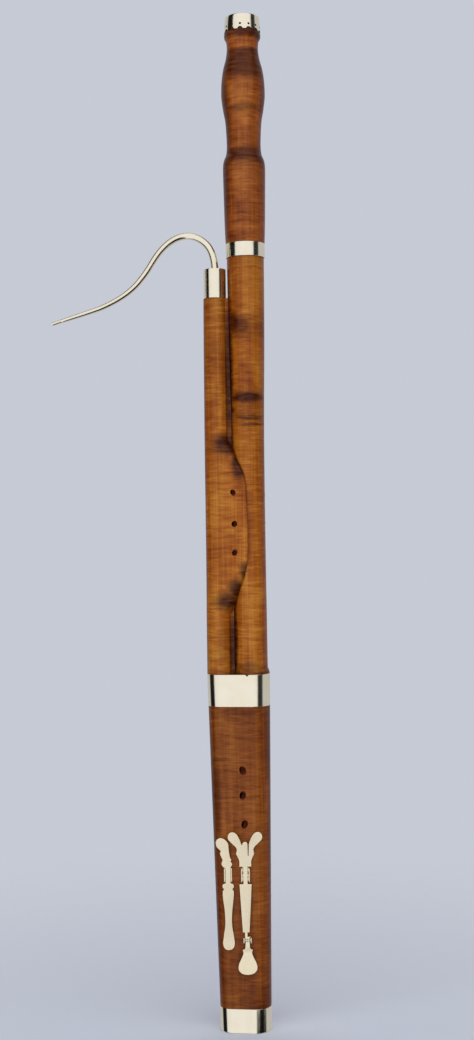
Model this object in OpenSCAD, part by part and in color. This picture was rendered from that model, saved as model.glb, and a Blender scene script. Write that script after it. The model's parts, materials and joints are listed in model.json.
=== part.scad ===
// Four-key baroque bassoon, standing on the foot of its boot joint.
// +Z runs up along the bores, -Y is the side with the finger holes, -X the side of the bocal.
// The origin is the centre of the flat foot.

/* [Overall] */
// Height of the top face of the boot joint
boot_h = 436.5; // [430:0.5:440]
// Height of the shoulder that the bell joint sits on
bell_z = 945.3; // [940:0.1:950]
// Height of the top face of the wing joint's ferrule
wing_top_z = 932; // [928:0.5:934]
// Distance of the long joint's axis from the origin, towards +X
long_x = 12; // [11.5:0.1:12.5]
// Distance of the wing joint's axis from the origin, towards -X
wing_x = 26; // [25.8:0.1:27]

/* [Boot joint] */
// Height of the brass band round the top
band_h = 39; // [30:1:45]
// Height of the brass cap round the foot
cap_h = 29.5; // [24:0.5:34]
// Wall thickness of both brass mounts
mount_wall = 0.9; // [0.7:0.1:1.2]
// Diameter of the three finger holes
boot_hole_d = 7.2; // [6:0.1:8]

/* [Tenons] */
// Outer radius of the long joint's two lapped tenons
long_tenon_r = 16.6; // [16:0.1:17]
// Outer radius of the wing joint's lapped tenon
wing_tenon_r = 12; // [11.5:0.1:12.2]
// Length of the tenons that go into the boot
tenon_l = 46; // [40:1:50]
// Radial clearance of a lapped tenon in its socket
tenon_gap = 0.08; // [0.05:0.01:0.1]
// Radial depth of the thread lapping
lapping_depth = 0.7; // [0.5:0.1:0.9]

/* [Wing joint] */
// Radius of the groove that nests on the long joint
groove_r = 20.9; // [20.8:0.1:21.2]
// Diameter of the three finger holes
wing_hole_d = 5.4; // [4.5:0.1:6]

/* [Bocal] */
// Outer radius of the bocal's tube at its wide end
bocal_r = 4.8; // [4.5:0.1:4.9]
// Outer radius of the bocal's tube at the reed end
bocal_tip_r = 2.2; // [2:0.1:2.4]
// Wall thickness of the bocal's tube
bocal_wall = 0.7; // [0.5:0.1:0.9]
// Length of the straight reed seat at the tip
reed_seat_l = 12; // [10:1:16]

/* [Keys] */
// Thickness of a key's plate
plate_t = 1.7; // [1.4:0.1:2]
// Radius of a key's axle
axle_r = 0.9; // [0.8:0.05:1]
// Radial clearance of a lever on its axle
axle_gap = 0.05; // [0.02:0.01:0.08]
// Height of an axle above the wood
axle_h = 3.9; // [3.8:0.1:4.2]
// Angle that an open key's flap closes through
open_angle = 7; // [6:0.5:7]

/* [Hidden] */

$fn = 96;
hull_fn = 48;      // facets of the circles inside a hull
eps = 0.01;        // thickness of a disc that only guides a hull
far = 30;          // reach of a cut that goes right through
press = 0.02;      // radial overlap of parts that are pressed together
wood = "#a5622c";
dark_wood = "#82461f";
brass = "#e6dcb4";
steel = "#8f959c";
thread = "#b8322a";
cork = "#c49a6c";
leather = "#d8c9a4";

// ---------- shared functions ----------

// One point of a Catmull-Rom curve through b and c
function curve_point(a, b, c, d, t) =
    0.5 * (2 * b + (c - a) * t + (2 * a - 5 * b + 4 * c - d) * t * t
           + (3 * b - a - 3 * c + d) * t * t * t);
// A smooth run through the points of p, with n steps between neighbours
function smooth(p, n) = [
    for (i = [0 : len(p) - 2], k = [0 : n - 1])
        curve_point(p[max(i - 1, 0)], p[i], p[i + 1], p[min(i + 2, len(p) - 1)], k / n),
    p[len(p) - 1]];
function reversed(p) = [for (i = [len(p) - 1 : -1 : 0]) p[i]];
// Rows of [v, half width] about the line u = 0, as a closed outline
function both_sides(rows) = concat([for (r = rows) [r[1], r[0]]],
                                   [for (r = reversed(rows)) [-r[1], r[0]]]);
// Rows of [v, underside] as a closed side view of a plate of thickness t
function plate_band(rows, t) = concat(rows, [for (r = reversed(rows)) [r[0], r[1] + t]]);

module turned(profile) rotate_extrude() polygon(profile);

// A bore whose radius changes evenly from one height to the other
module taper_bore(z0, r0, z1, r1) translate([0, 0, z0]) cylinder(h = z1 - z0, r1 = r0, r2 = r1);

module ring(r_in, r_out, z0, z1) translate([0, 0, z0]) difference() {
    cylinder(h = z1 - z0, r = r_out);
    translate([0, 0, -1]) cylinder(h = z1 - z0 + 2, r = r_in);
}

// A straight hole from one point to another, begun outside the first point
drill_out = 6;
module drill(from, to, r) {
    d = to - from;
    translate(from) rotate([0, acos(d[2] / norm(d)), atan2(d[1], d[0])])
        translate([0, 0, -drill_out]) cylinder(h = norm(d) + drill_out, r = r);
}

// ---------- boot joint ----------

// The boot's section is two circles and their tangents, tapering towards the foot
function wing_side_x(z) = -15 - 9.5 * z / boot_h;
function wing_side_r(z) = 16 + 1.5 * z / boot_h;
function long_side_x(z) = long_x + z / boot_h;
function long_side_r(z) = 19 + 3 * z / boot_h;
// Axis of the narrow bore, which leans towards the long joint's side
small_bore_top = 388;
small_bore_foot = 14;
function small_bore_x(z) = -wing_x + 13 * (small_bore_top - z) / (small_bore_top - small_bore_foot);

module boot_oval(z0, z1, inset) hull() {
    for (z = [z0, z1 - eps]) {
        translate([wing_side_x(z), 0, z]) cylinder(h = eps, r = wing_side_r(z) - inset, $fn = hull_fn);
        translate([long_side_x(z), 0, z]) cylinder(h = eps, r = long_side_r(z) - inset, $fn = hull_fn);
    }
}

cap_floor = 1.2;
cap_gap = 0.1;       // between the cap and the wood
band_proud = 0.15;   // the top band stands this far out of the wood
nick_x = 7;
nick_w = 3.6;
large_bore_foot_r = 9.4;
large_bore_top_r = 11.8;
small_bore_r = 7.8;
small_bore_end = 20;
u_bend_z = 14;       // top of the cork plug, floor of the passage between the bores
u_bend_top = 32;
plug_r = 8.4;

module u_bend_slot(z0, z1, r) translate([0, 0, z0]) linear_extrude(z1 - z0) hull() {
    translate([small_bore_x(u_bend_z), 0]) circle(r);
    translate([long_x, 0]) circle(r);
}

boot_holes = [[[-0.9, -20, 322], [-23, 0, 332]], [[-0.4, -20, 290], [-22, 0, 290]],
              [[1.3, -20, 254.5], [-21, 0, 246]]];
boot_thumb_hole = [[-4, 18.5, 345], [-23, 0, 352]];
thumb_hole_d = 8;

module boot_joint() color(dark_wood) difference() {
    union() {
        boot_oval(cap_floor, cap_h, mount_wall + cap_gap);
        boot_oval(cap_h, boot_h - band_h, 0);
        boot_oval(boot_h - band_h, boot_h, mount_wall);
    }
    // sockets for the two upper joints, and the two bores below them
    translate([long_x, 0, boot_h - tenon_l - 1]) cylinder(h = tenon_l + 2, r = long_tenon_r + tenon_gap);
    translate([long_x, 0, 0]) taper_bore(u_bend_z, large_bore_foot_r, boot_h - tenon_l, large_bore_top_r);
    translate([-wing_x, 0, boot_h - tenon_l - 1]) cylinder(h = tenon_l + 2, r = wing_tenon_r + tenon_gap);
    drill([-wing_x, 0, boot_h - tenon_l], [small_bore_x(small_bore_end), 0, small_bore_end], small_bore_r);
    u_bend_slot(cap_floor - 1, u_bend_top, plug_r);
    for (h = boot_holes) drill(h[0], h[1], boot_hole_d / 2);
    drill(boot_thumb_hole[0], boot_thumb_hole[1], thumb_hole_d / 2);
    // tone holes with their flat seats, and mortises for the saddles
    gsharp_place() {
        pad_seat(gsharp_pad_v, gsharp_pad_r, gsharp_hole_r, gsharp_seat);
        saddle_mortise(gsharp_saddle_size);
    }
    f_place() open_key_cuts(f_span, f_shift, f_seat);
    translate(strap_at) rotate([-90, 0, 0]) {
        translate([0, 0, -strap_shank_l]) cylinder(h = far, r = strap_shank_r);
        translate([0, 0, -strap_flange_sunk]) cylinder(h = far, r = strap_flange_r + press);
    }
}

module boot_top_band() color(brass) difference() {
    boot_oval(boot_h - band_h, boot_h, -band_proud);
    boot_oval(boot_h - band_h - 1, boot_h + 1, mount_wall);
    // small alignment nick in the upper edge
    translate([nick_x, -far, boot_h]) rotate([0, 45, 0]) cube([nick_w, far, nick_w], center = true);
}

module boot_bottom_cap() color(brass) difference() {
    boot_oval(0, cap_h, 0);
    boot_oval(cap_floor, cap_h + 1, mount_wall);
}

module boot_cork_plug() color(cork) u_bend_slot(cap_floor, u_bend_z, plug_r - 0.05);

// ---------- long joint ----------

// Turned outline, as [radius, height]
long_outline = [
    [22.7, boot_h], [22.5, boot_h + 2], [21.3, boot_h + 5.5], [20.5, boot_h + 10], [20.3, 500],
    [20, 560], [19.8, 640], [20, 720], [20.8, 780], [21.9, 840], [22.5, 900], [22.7, bell_z]];
lip_h = 14;
lip_end_x = -2;
lip_cut_r = 20.3;
bell_tenon_l = 42;
bell_tenon_r = 18.5;
long_bore_foot = 12;
long_bore_top = 15.3;
c_hole_z = 637;
c_hole_r = 4.2;

module long_joint() color(wood) difference() {
    translate([long_x, 0, 0]) difference() {
        union() {
            turned(concat([[0, boot_h]], smooth(long_outline, 4), [[0, bell_z]]));
            translate([0, 0, boot_h - tenon_l]) cylinder(h = tenon_l + 1, r = long_tenon_r - lapping_depth);
            translate([0, 0, bell_z - 1]) cylinder(h = bell_tenon_l + 1, r = bell_tenon_r - lapping_depth);
        }
        taper_bore(boot_h - tenon_l - eps, long_bore_foot, bell_z + bell_tenon_l + eps, long_bore_top);
        drill([0, long_outline[6][0], c_hole_z], [0, 0, c_hole_z], c_hole_r);
    }
    // the lip is cut back to the plain outline on the wing joint's side
    translate([0, 0, boot_h - eps]) difference() {
        translate([lip_end_x - far, -far, 0]) cube([far, 2 * far, lip_h]);
        translate([long_x, 0, -1]) cylinder(h = lip_h + 2, r = lip_cut_r);
    }
    d_place() open_key_cuts(d_span, 0, long_seat);
    bflat_place() open_key_cuts(bflat_span, 0, long_seat);
}

lapping_end = 5;   // bare wood left at each end of a tenon
module long_lower_lapping() color(thread) translate([long_x, 0, 0])
    ring(long_tenon_r - lapping_depth, long_tenon_r, boot_h - tenon_l + lapping_end, boot_h - lapping_end);
module long_upper_lapping() color(thread) translate([long_x, 0, 0])
    ring(bell_tenon_r - lapping_depth, bell_tenon_r, bell_z + lapping_end, bell_z + bell_tenon_l - lapping_end);

// ---------- wing joint ----------

wing_foot_r = 15.9;
ferrule_h = 36;
ferrule_r = 13.65;
ferrule_wall = 0.9;
ferrule_top_t = 1;
ferrule_mouth_gap = 0.4;
wing_outline = [
    [wing_foot_r, boot_h], [15.8, 500], [15.5, 620], [15.2, 740], [14.8, 830],
    [14.4, 880], [14.2, wing_top_z - ferrule_h]];
// Ear that reaches over the long joint: its free edge, as [x, z]
ear_edge = [
    [-18, 500], [-12.5, 508], [-7.4, 516], [-2.4, 534], [3.6, 551], [8, 566], [10, 584],
    [10.2, 609], [9.6, 646], [8.5, 670], [5, 684], [-1, 697], [-7, 713], [-12.5, 727], [-18, 737]];
// Groove that nests on the long joint, as [radius, z]; it clears the long joint's flare when pulled out
groove = [[groove_r, boot_h - 1], [groove_r, 716], [groove_r + 0.35, 745], [groove_r + 1.4, 800],
          [groove_r + 2.1, 860], [groove_r + 2.3, wing_top_z]];
rib_half = 7.5;      // half the width of the rib that carries the groove
rib_reach = 18;      // from the wing joint's axis, before the groove is cut
rib_top_z = wing_top_z - ferrule_h;
ear_root_r = 15.3;
ear_tip_r = 2.2;
ear_tip_x = 8;
ear_foot_z = ear_edge[0][1];
ear_head_z = ear_edge[len(ear_edge) - 1][1];
wing_bore_foot_r = 7.3;
wing_bore_top_r = 4;
wing_holes = [[[-8.7, -20.6, 659], [-wing_x, 0, 667]], [[-6.6, -21.2, 620], [-wing_x, 0, 620]],
              [[-7, -21.1, 585], [-wing_x, 0, 576]]];
bocal_socket_r = 5.5;
bocal_socket_z = 898;

module ear() intersection() {
    translate([0, 0, ear_foot_z]) linear_extrude(ear_head_z - ear_foot_z) hull() {
        translate([-wing_x, 0]) circle(ear_root_r);
        translate([ear_tip_x, -sqrt(pow(groove_r + ear_tip_r, 2) - pow(long_x - ear_tip_x, 2))])
            circle(ear_tip_r);
    }
    rotate([90, 0, 0]) linear_extrude(far)
        polygon(concat([[-wing_x - far, ear_foot_z]], smooth(ear_edge, 4), [[-wing_x - far, ear_head_z]]));
}

module wing_joint() color(wood) difference() {
    union() {
        translate([-wing_x, 0, 0]) {
            turned(concat([[0, boot_h]], smooth(wing_outline, 4), [[0, wing_top_z - ferrule_h]]));
            translate([0, 0, boot_h - tenon_l]) cylinder(h = tenon_l + 1, r = wing_tenon_r - lapping_depth);
            translate([0, 0, wing_top_z - ferrule_h - ferrule_top_t])
                cylinder(h = ferrule_h, r = ferrule_r - ferrule_wall);
        }
        ear();
        translate([-wing_x, -rib_half, boot_h]) cube([rib_reach, 2 * rib_half, rib_top_z - boot_h]);
    }
    translate([long_x, 0, 0]) turned(concat([[0, boot_h - 1]], groove, [[0, wing_top_z]]));
    translate([-wing_x, 0, 0]) {
        taper_bore(boot_h - tenon_l - eps, wing_bore_foot_r, bocal_socket_z + eps, wing_bore_top_r);
        translate([0, 0, bocal_socket_z]) cylinder(h = wing_top_z - bocal_socket_z + 1, r = bocal_socket_r);
    }
    for (h = wing_holes) drill(h[0], h[1], wing_hole_d / 2);
}

module wing_lapping() color(thread) translate([-wing_x, 0, 0])
    ring(wing_tenon_r - lapping_depth, wing_tenon_r, boot_h - tenon_l + lapping_end, boot_h - lapping_end);

module wing_ferrule() color(brass) translate([-wing_x, 0, 0]) {
    ring(ferrule_r - ferrule_wall, ferrule_r, wing_top_z - ferrule_h, wing_top_z - ferrule_top_t);
    ring(bocal_socket_r + ferrule_mouth_gap, ferrule_r, wing_top_z - ferrule_top_t, wing_top_z);
}

// ---------- bell joint ----------

ring_h = 17.2;
ring_r = 24;
bell_socket_l = bell_tenon_l + 1;
bell_bore_r = 15.3;
bell_top_z = 1239;
crown_seat_z = 1221;
bell_outline = [
    [23.9, bell_z + ring_h], [24.7, 982], [25.3, 1012], [25.9, 1045], [25.8, 1058], [24.6, 1065],
    [22, 1071.5], [20.9, 1080], [21, 1092], [22.2, 1112], [24.6, 1126], [26.5, 1140], [26.8, 1149],
    [26.2, 1162], [24.2, 1176], [20.8, 1189], [19.3, 1199], [19.3, 1206], [20, 1211], [21.8, 1214.5],
    [22.3, 1217.5], [22, 1220], [21, crown_seat_z]];
bell_rim_r = 19.6;
// Wood inside the crown, as [radius, z]
crown_core = [[21, crown_seat_z - 1], [20.9, 1224], [20.4, 1232], [19.9, 1237]];

module bell_joint() color(dark_wood) translate([long_x, 0, 0]) difference() {
    union() {
        turned(concat([[0, bell_z + ring_h]], smooth(bell_outline, 4), [[0, crown_seat_z]]));
        translate([0, 0, bell_z]) cylinder(h = ring_h + 1, r = ring_r - mount_wall);
        turned(concat([[0, crown_core[0][1]]], crown_core, [[bell_rim_r, bell_top_z], [0, bell_top_z]]));
    }
    translate([0, 0, bell_z - 1]) cylinder(h = bell_socket_l + 1, r = bell_tenon_r + tenon_gap);
    translate([0, 0, bell_z]) cylinder(h = bell_top_z - bell_z + 1, r = bell_bore_r);
}

module bell_socket_ring() color(brass) translate([long_x, 0, 0])
    ring(ring_r - mount_wall, ring_r, bell_z, bell_z + ring_h);

// Crown: a slightly flaring band with a scalloped lower edge, and a piercing over each arch
crown_arches = 13;
crown_wall = 0.7;
crown_top_gap = 0.1;
crown_curve = [
    [20.6, 1240], [21.2, 1237], [21.6, 1232], [21.9, 1227], [22.2, 1221.1]];
arch_z = 1220.2;
arch_r = 3.4;
piercing_z = 1227;
piercing_r = 1.15;
module bell_crown() color(brass) translate([long_x, 0, 0]) difference() {
    union() {
        turned(concat(crown_curve, [for (p = reversed(crown_curve)) [p[0] - crown_wall, p[1]]]));
        ring(bell_bore_r, crown_curve[0][0], bell_top_z + crown_top_gap, crown_curve[0][1]);
    }
    for (i = [0 : crown_arches - 1]) rotate([0, 90, (i + 0.5) * 360 / crown_arches]) {
        translate([-arch_z, 0, bell_rim_r - 1]) cylinder(h = far, r = arch_r);
        translate([-piercing_z, 0, bell_rim_r - 1]) cylinder(h = far, r = piercing_r);
    }
}

// ---------- bocal ----------

// Centre line from the wing joint's socket to the reed seat, as [x, z]
bocal_route = [
    [-26, 903], [-26, 921], [-25.7, 934], [-27.3, 946], [-30.7, 956.1], [-36.2, 963.9],
    [-44.7, 970.2], [-55.9, 973.7], [-68.5, 972.4], [-80.5, 966.4], [-90.9, 957.2],
    [-99.2, 946.6], [-107.1, 934.3], [-114.8, 923.7], [-124.2, 912.9], [-135.1, 903.7],
    [-147.8, 895.7], [-163.9, 887.9], [-181.3, 881.9], [-199.4, 876.3], [-214.9, 871.5]];
bocal_lapping_z = [905, 920];
bocal_steps = 2;
bocal_sides = 12;
seat_step = 0.06;     // the reed seat stands this far proud of the tube's end
bocal_line = [for (p = smooth(bocal_route, bocal_steps)) [p[0], 0, p[1]]];
bocal_n = len(bocal_line);
function heading(i) = let (d = bocal_line[min(i + 1, bocal_n - 1)] - bocal_line[max(i - 1, 0)]) d / norm(d);
// The tube narrows slowly at first, and quickest at the reed end
function bocal_radius(i) = bocal_tip_r + (bocal_r - bocal_tip_r) * sqrt(1 - i / (bocal_n - 1));
// A ring of points round the centre line; the side axis is always Y
function bocal_ring(i, r) = [
    for (k = [0 : bocal_sides - 1])
        let (a = 360 * k / bocal_sides, out = cross([0, 1, 0], heading(i)))
            bocal_line[i] + r * (cos(a) * out + sin(a) * [0, 1, 0])];
function strip(a, b) = [
    for (k = [0 : bocal_sides - 1]) let (n = (k + 1) % bocal_sides) [a + k, b + k, b + n, a + n]];

module bocal_tube() {
    outer = [for (i = [0 : bocal_n - 1]) each bocal_ring(i, bocal_radius(i))];
    inner = [for (i = [0 : bocal_n - 1]) each bocal_ring(i, bocal_radius(i) - bocal_wall)];
    shift = bocal_n * bocal_sides;
    last = (bocal_n - 1) * bocal_sides;
    polyhedron(concat(outer, inner), concat(
        [for (i = [0 : bocal_n - 2]) each strip(i * bocal_sides, (i + 1) * bocal_sides)],
        [for (i = [0 : bocal_n - 2]) each strip(shift + (i + 1) * bocal_sides, shift + i * bocal_sides)],
        strip(shift, 0), strip(last, shift + last)));
}

module bocal() color(brass) {
    end = bocal_line[bocal_n - 1];
    way = heading(bocal_n - 1);
    difference() {
        union() {
            bocal_tube();
            translate(end - way) rotate([0, -acos(way[2]), 0])
                cylinder(h = reed_seat_l + 1, r = bocal_tip_r + seat_step);
        }
        translate(end - 2 * way) rotate([0, -acos(way[2]), 0])
            cylinder(h = reed_seat_l + 4, r = bocal_tip_r + seat_step - bocal_wall);
    }
}

module bocal_lapping() color(thread) translate([-wing_x, 0, 0])
    ring(bocal_r - press, bocal_socket_r - tenon_gap, bocal_lapping_z[0], bocal_lapping_z[1]);

// ---------- strap ring ----------

strap_at = [-4, 20.5, 384];
strap_shank_r = 2;
strap_shank_l = 4.4; // depth of the screw in the wood
strap_flange_r = 5;
strap_flange_sunk = 1;
strap_flange_t = 2.4;
strap_neck_l = 4.5;  // from the wood to inside the eye's rim
eye_out = 7.5;       // distance of the eye's centre from the wood
eye_r = 4.4;
eye_hole_r = 2.4;
eye_w = 2.6;
strap_wire_r = 1.4;
strap_ring_r = 9.5;

module strap_post() color(brass) translate(strap_at) {
    rotate([-90, 0, 0]) {
        translate([0, 0, -strap_shank_l]) cylinder(h = strap_shank_l + strap_neck_l, r = strap_shank_r);
        translate([0, 0, -strap_flange_sunk]) cylinder(h = strap_flange_t, r = strap_flange_r);
    }
    translate([0, eye_out, 0]) rotate([0, 90, 0]) difference() {
        cylinder(h = eye_w, r = eye_r, center = true);
        cylinder(h = eye_w + 1, r = eye_hole_r, center = true);
    }
}

module strap_ring() color(brass) translate(strap_at + [0, eye_out, -strap_ring_r]) rotate([90, 0, 0])
    rotate_extrude() translate([strap_ring_r, 0]) circle(strap_wire_r, $fn = 32);

// ---------- keys ----------
// A key is drawn with u across it, v along it towards the touch, and w out of the wood.

key_z = 194;
gsharp_x = -19.8;
gsharp_y = -16.7;
f_x = 1.3;
f_y = -19.2;
d_z = 574;
d_face_r = 20;        // the wood's radius under the D key
bflat_z = 702;
bflat_face_r = 20.2;  // the wood's radius under the B flat touch
bflat_tilt = 0.66;    // slope of the wood under the B flat key

module on_boot(x, y, z) translate([x, y, z]) rotate([90, 0, 0]) children();
module on_long(face_r, z) translate([long_x, face_r, z]) rotate([90, 0, 180]) children();
module gsharp_place() on_boot(gsharp_x, gsharp_y, key_z) children();
module f_place() on_boot(f_x, f_y, key_z) children();
module d_place() on_long(d_face_r, d_z) children();
// The B flat key is upside down, with its touch at the lower end
module bflat_place() on_long(bflat_face_r, bflat_z) rotate([-bflat_tilt, 0, 180]) children();

// A plate with this outline, seen from the front, bent to this band, seen from the side
module bent_plate(outline, rows, t = plate_t) intersection() {
    linear_extrude(far) polygon(outline);
    rotate([90, 0, 90]) linear_extrude(2 * far, center = true) polygon(plate_band(rows, t));
}

// Barrel that turns on the axle, blended into the plate above it
barrel_r = 2;
module barrel(half) difference() {
    translate([0, 0, axle_h]) rotate([0, 90, 0]) cylinder(h = 2 * half, r = barrel_r, center = true);
    axle_hole();
}
module axle_hole() translate([0, 0, axle_h]) rotate([0, 90, 0])
    cylinder(h = far, r = axle_r + axle_gap, center = true);

// Saddle sizes: [length, half of the width inside, cheek thickness]
gsharp_saddle_size = [17.2, 3.5, 1.35];
touch_saddle_size = [17.2, 3.9, 1.4];
flap_saddle_size = [7, 3.7, 1.3];
saddle_floor = 1;
saddle_sunk = 2.6;
saddle_top = 6;
// the cheeks have a little clearance in the mortise's length and width
mortise_gap = 0.02;

module saddle_block(size, low, high, grow) translate([0, 0, (low + high) / 2])
    cube([2 * (size[1] + size[2] + grow), size[0] + 2 * grow, high - low], center = true);

module saddle(size) difference() {
    saddle_block(size, -saddle_sunk, saddle_top, 0);
    translate([0, 0, saddle_floor - saddle_sunk + far / 2])
        cube([2 * size[1], size[0] + 1, far], center = true);
    translate([0, 0, axle_h]) rotate([0, 90, 0]) cylinder(h = far, r = axle_r, center = true);
    for (v = saddle_screw_rows(size)) translate([0, v, -far / 2]) cylinder(h = far, r = screw_r);
}
module saddle_mortise(size) {
    saddle_block(size, -saddle_sunk, far / 3, mortise_gap);
    for (v = saddle_screw_rows(size)) translate([0, v, -saddle_sunk - screw_l]) cylinder(h = far, r = screw_r);
}

// Saddle screws: two in a long saddle, one in a short one
screw_r = 0.9;
screw_l = 3;
screw_end = 0.1;      // clearance under the screw's point
screw_gap = 0.03;
screw_head_r = 1.6;
screw_head_t = 0.7;
screw_slot_w = 0.4;
screw_spacing = 5.4;  // from the axle, along the saddle
function saddle_screw_rows(size) = size[0] > 2 * screw_spacing ? [-screw_spacing, screw_spacing] : [0];
module saddle_screw_set(size) for (v = saddle_screw_rows(size)) translate([0, v, -saddle_sunk]) {
    translate([0, 0, screw_end - screw_l]) cylinder(h = screw_l + saddle_floor, r = screw_r - screw_gap);
    difference() {
        translate([0, 0, saddle_floor]) cylinder(h = screw_head_t, r = screw_head_r);
        translate([0, 0, saddle_floor + screw_head_t]) cube([screw_slot_w, far, screw_head_t], center = true);
    }
}

module axle(size) translate([0, 0, axle_h]) rotate([0, 90, 0])
    cylinder(h = 2 * (size[1] + size[2]), r = axle_r, center = true);

// Flat seat and tone hole under a pad
seat_gap = 0.8;
tone_hole_l = 20;
module pad_seat(v, pad_r, hole_r, seat) translate([0, v, 0]) {
    translate([0, 0, seat]) cylinder(h = far, r = pad_r + seat_gap);
    translate([0, 0, -tone_hole_l]) cylinder(h = far, r = hole_r);
}

// Leaf spring under a touch: riveted near the axle, its tip resting on the wood
spring_t = 0.35;
spring_half = 1.3;
rivet_v = 14;
rivet_r = 0.8;
rivet_low = 2.9;
rivet_top = 5.6;
rivet_head_r = 1.2;
rivet_head_t = 0.7;
spring_rows = [[10.5, 4.1], [17, 4], [24, 2.9], [31, 1.3], [36, 0.75]];
module leaf_spring() difference() {
    rotate([90, 0, 90]) linear_extrude(2 * spring_half, center = true)
        polygon(concat(spring_rows, [for (r = reversed(spring_rows)) [r[0], r[1] - spring_t]]));
    translate([0, rivet_v, -far / 2]) cylinder(h = far, r = rivet_r);
}
module rivet() {
    translate([0, rivet_v, rivet_low]) cylinder(h = rivet_top - rivet_low, r = rivet_r);
    translate([0, rivet_v, rivet_low]) cylinder(h = rivet_head_t, r = rivet_head_r);
}
module rivet_hole() translate([0, rivet_v, rivet_low - 1]) cylinder(h = rivet_top - rivet_low + 1, r = rivet_r);

// ---------- G sharp key: one lever, standing closed ----------

gsharp_pad_u = 0.4;
gsharp_pad_v = -84;
pad_gap = 0.05;     // left between the closed pad and its seat
gsharp_pad_r = 5.2;
gsharp_hole_r = 3.3;
gsharp_seat = -1.5;
shank_v = 8.7;      // the shank is this long on each side of the axle
gsharp_band = [[-94, 1.6], [-78, 1.6], [-62, 2.3], [-30, 3.7], [-10, 4.2], [12, 4.2], [30, 4.7], [50, 5.5]];
gsharp_lower = [
    [-shank_v, 3.1], [-9.8, 3.3], [-10.8, 5.9], [-12.9, 7], [-15.2, 6.5], [-17, 5.1], [-18.6, 6.4],
    [-22.1, 6.9], [-30.7, 6.2], [-41.8, 4.8], [-54, 4.1], [-62.7, 4.4], [-71.3, 5.7], [-79.9, 6.9],
    [-83.6, 7.2], [-88, 6.1], [-90.8, 3.5], [-91.6, 0]];
// Touch, leaning towards the boot's edge: right side upwards, then left side downwards
gsharp_touch_right = [
    [3.3, shank_v], [3.4, 9.6], [5.3, 13.4], [3.5, 16.6], [4.4, 18.8], [3, 21], [1.6, 28.4],
    [0.7, 37.6], [-1.2, 41.3], [-4.6, 44.3], [-9, 45.6]];
gsharp_touch_left = [
    [-9, 45.6], [-12.9, 43.6], [-14.4, 39.8], [-13.4, 35], [-10.4, 31.5], [-8.6, 29.6], [-9.4, 26.2],
    [-8, 22.4], [-6.4, 18.6], [-7.8, 14.2], [-6, 10.4], [-3.1, shank_v]];

module gsharp_key() color(brass) gsharp_place() difference() {
    union() {
        bent_plate(concat(smooth(gsharp_touch_right, 3), smooth(gsharp_touch_left, 3),
                          [for (r = smooth(gsharp_lower, 3)) [-r[1], r[0]]],
                          [for (r = reversed(smooth(gsharp_lower, 3))) [r[1], r[0]]]), gsharp_band);
        barrel(3.3);
    }
    axle_hole();
    rivet_hole();
}
module gsharp_pad() color(leather) gsharp_place() translate([gsharp_pad_u, gsharp_pad_v, gsharp_seat + pad_gap])
    cylinder(h = gsharp_band[0][1] - gsharp_seat - pad_gap, r = gsharp_pad_r);
module gsharp_saddle() color(brass) gsharp_place() saddle(gsharp_saddle_size);
module gsharp_axle() color(steel) gsharp_place() axle(gsharp_saddle_size);
module gsharp_spring() color(steel) gsharp_place() leaf_spring();
module gsharp_rivet() color(brass) gsharp_place() rivet();

// ---------- open keys: a touch lever that works a flap lever ----------
// span is the distance between the two axles, shift the flap's offset across the key, and
// arm the distance from the flap's axle to the keeper in which its tail lies.

flap_pad_v = -31;
flap_pad_r = 8.5;
flap_hole_r = 4.5;
f_seat = -1.5;
long_seat = -1.7;
pad_t = 3.1;
tip_gap = 10;        // from the touch lever's tip to the flap's axle
f_span = 79;
f_shift = 1.5;
f_arm = 22;
d_span = 58;
d_arm = 21;
bflat_span = 118;
bflat_arm = 39;

module open_key_cuts(span, shift, seat) {
    saddle_mortise(touch_saddle_size);
    translate([shift, -span, 0]) {
        pad_seat(flap_pad_v, flap_pad_r, flap_hole_r, seat);
        saddle_mortise(flap_saddle_size);
    }
}

// Swallow-tail touch: right half from the shank up to the crown point between the lobes
swallow_half = [
    [2.6, shank_v], [2.6, 10.6], [7.4, 10.8], [7.2, 14], [7.6, 18.5], [9, 22.3], [10.9, 26],
    [10.6, 28.6], [10.2, 32], [12.2, 35.6], [15.4, 38.6], [17.6, 41], [20.2, 43.8], [20.9, 47.8],
    [19.2, 51.4], [15.6, 53], [11.6, 51.6], [8.2, 47.4], [5.8, 42], [4.3, 37.6], [3.6, 36.6],
    [3.1, 39.2], [1.8, 40.9], [0, 41]];
touch_band_top = [[-12, 4.2], [12, 4.2], [30, 4.9], [60, 6.2]];
// Slit between the crown point and one lobe
touch_slit = [[3.3, 38], [4.5, 38], [3.9, 24], [3.4, 24]];

// Touch lever whose tip is at v = -reach
function touch_lower(reach) = [[-shank_v, 2.6], [-10.4, 2.6], [-10.5, 7.5], [-reach, 4.1]];
module touch_lever(span, arm) {
    reach = span - tip_gap;
    difference() {
        union() {
            bent_plate(concat([for (r = reversed(touch_lower(reach))) [r[1], r[0]]], swallow_half,
                              [for (p = reversed(swallow_half)) [-p[0], p[1]]],
                              [for (r = touch_lower(reach)) [-r[1], r[0]]]),
                       concat([[-reach - 5, 3.6], [-reach + 5, 3.6]], touch_band_top));
            barrel(3.7);
            translate([0, arm - span, 0]) keeper();
        }
        axle_hole();
        rivet_hole();
        linear_extrude(far) polygon(touch_slit);
    }
}

// Keeper under the lever: two lugs and a cross bar that carry the flap lever's tail
lug_t = 1;
lug_out = 2.6;       // from the middle of the lever to the middle of a lug
keeper_l = 2.2;
keeper_low = 0.7;
keeper_bar_t = 0.9;
keeper_top = 4.1;
module keeper() {
    for (s = [-1, 1]) translate([s * lug_out - lug_t / 2, -keeper_l / 2, keeper_low])
        cube([lug_t, keeper_l, keeper_top - keeper_low]);
    translate([-lug_out - lug_t / 2, -keeper_l / 2, keeper_low])
        cube([2 * lug_out + lug_t, keeper_l, keeper_bar_t]);
}

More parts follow.
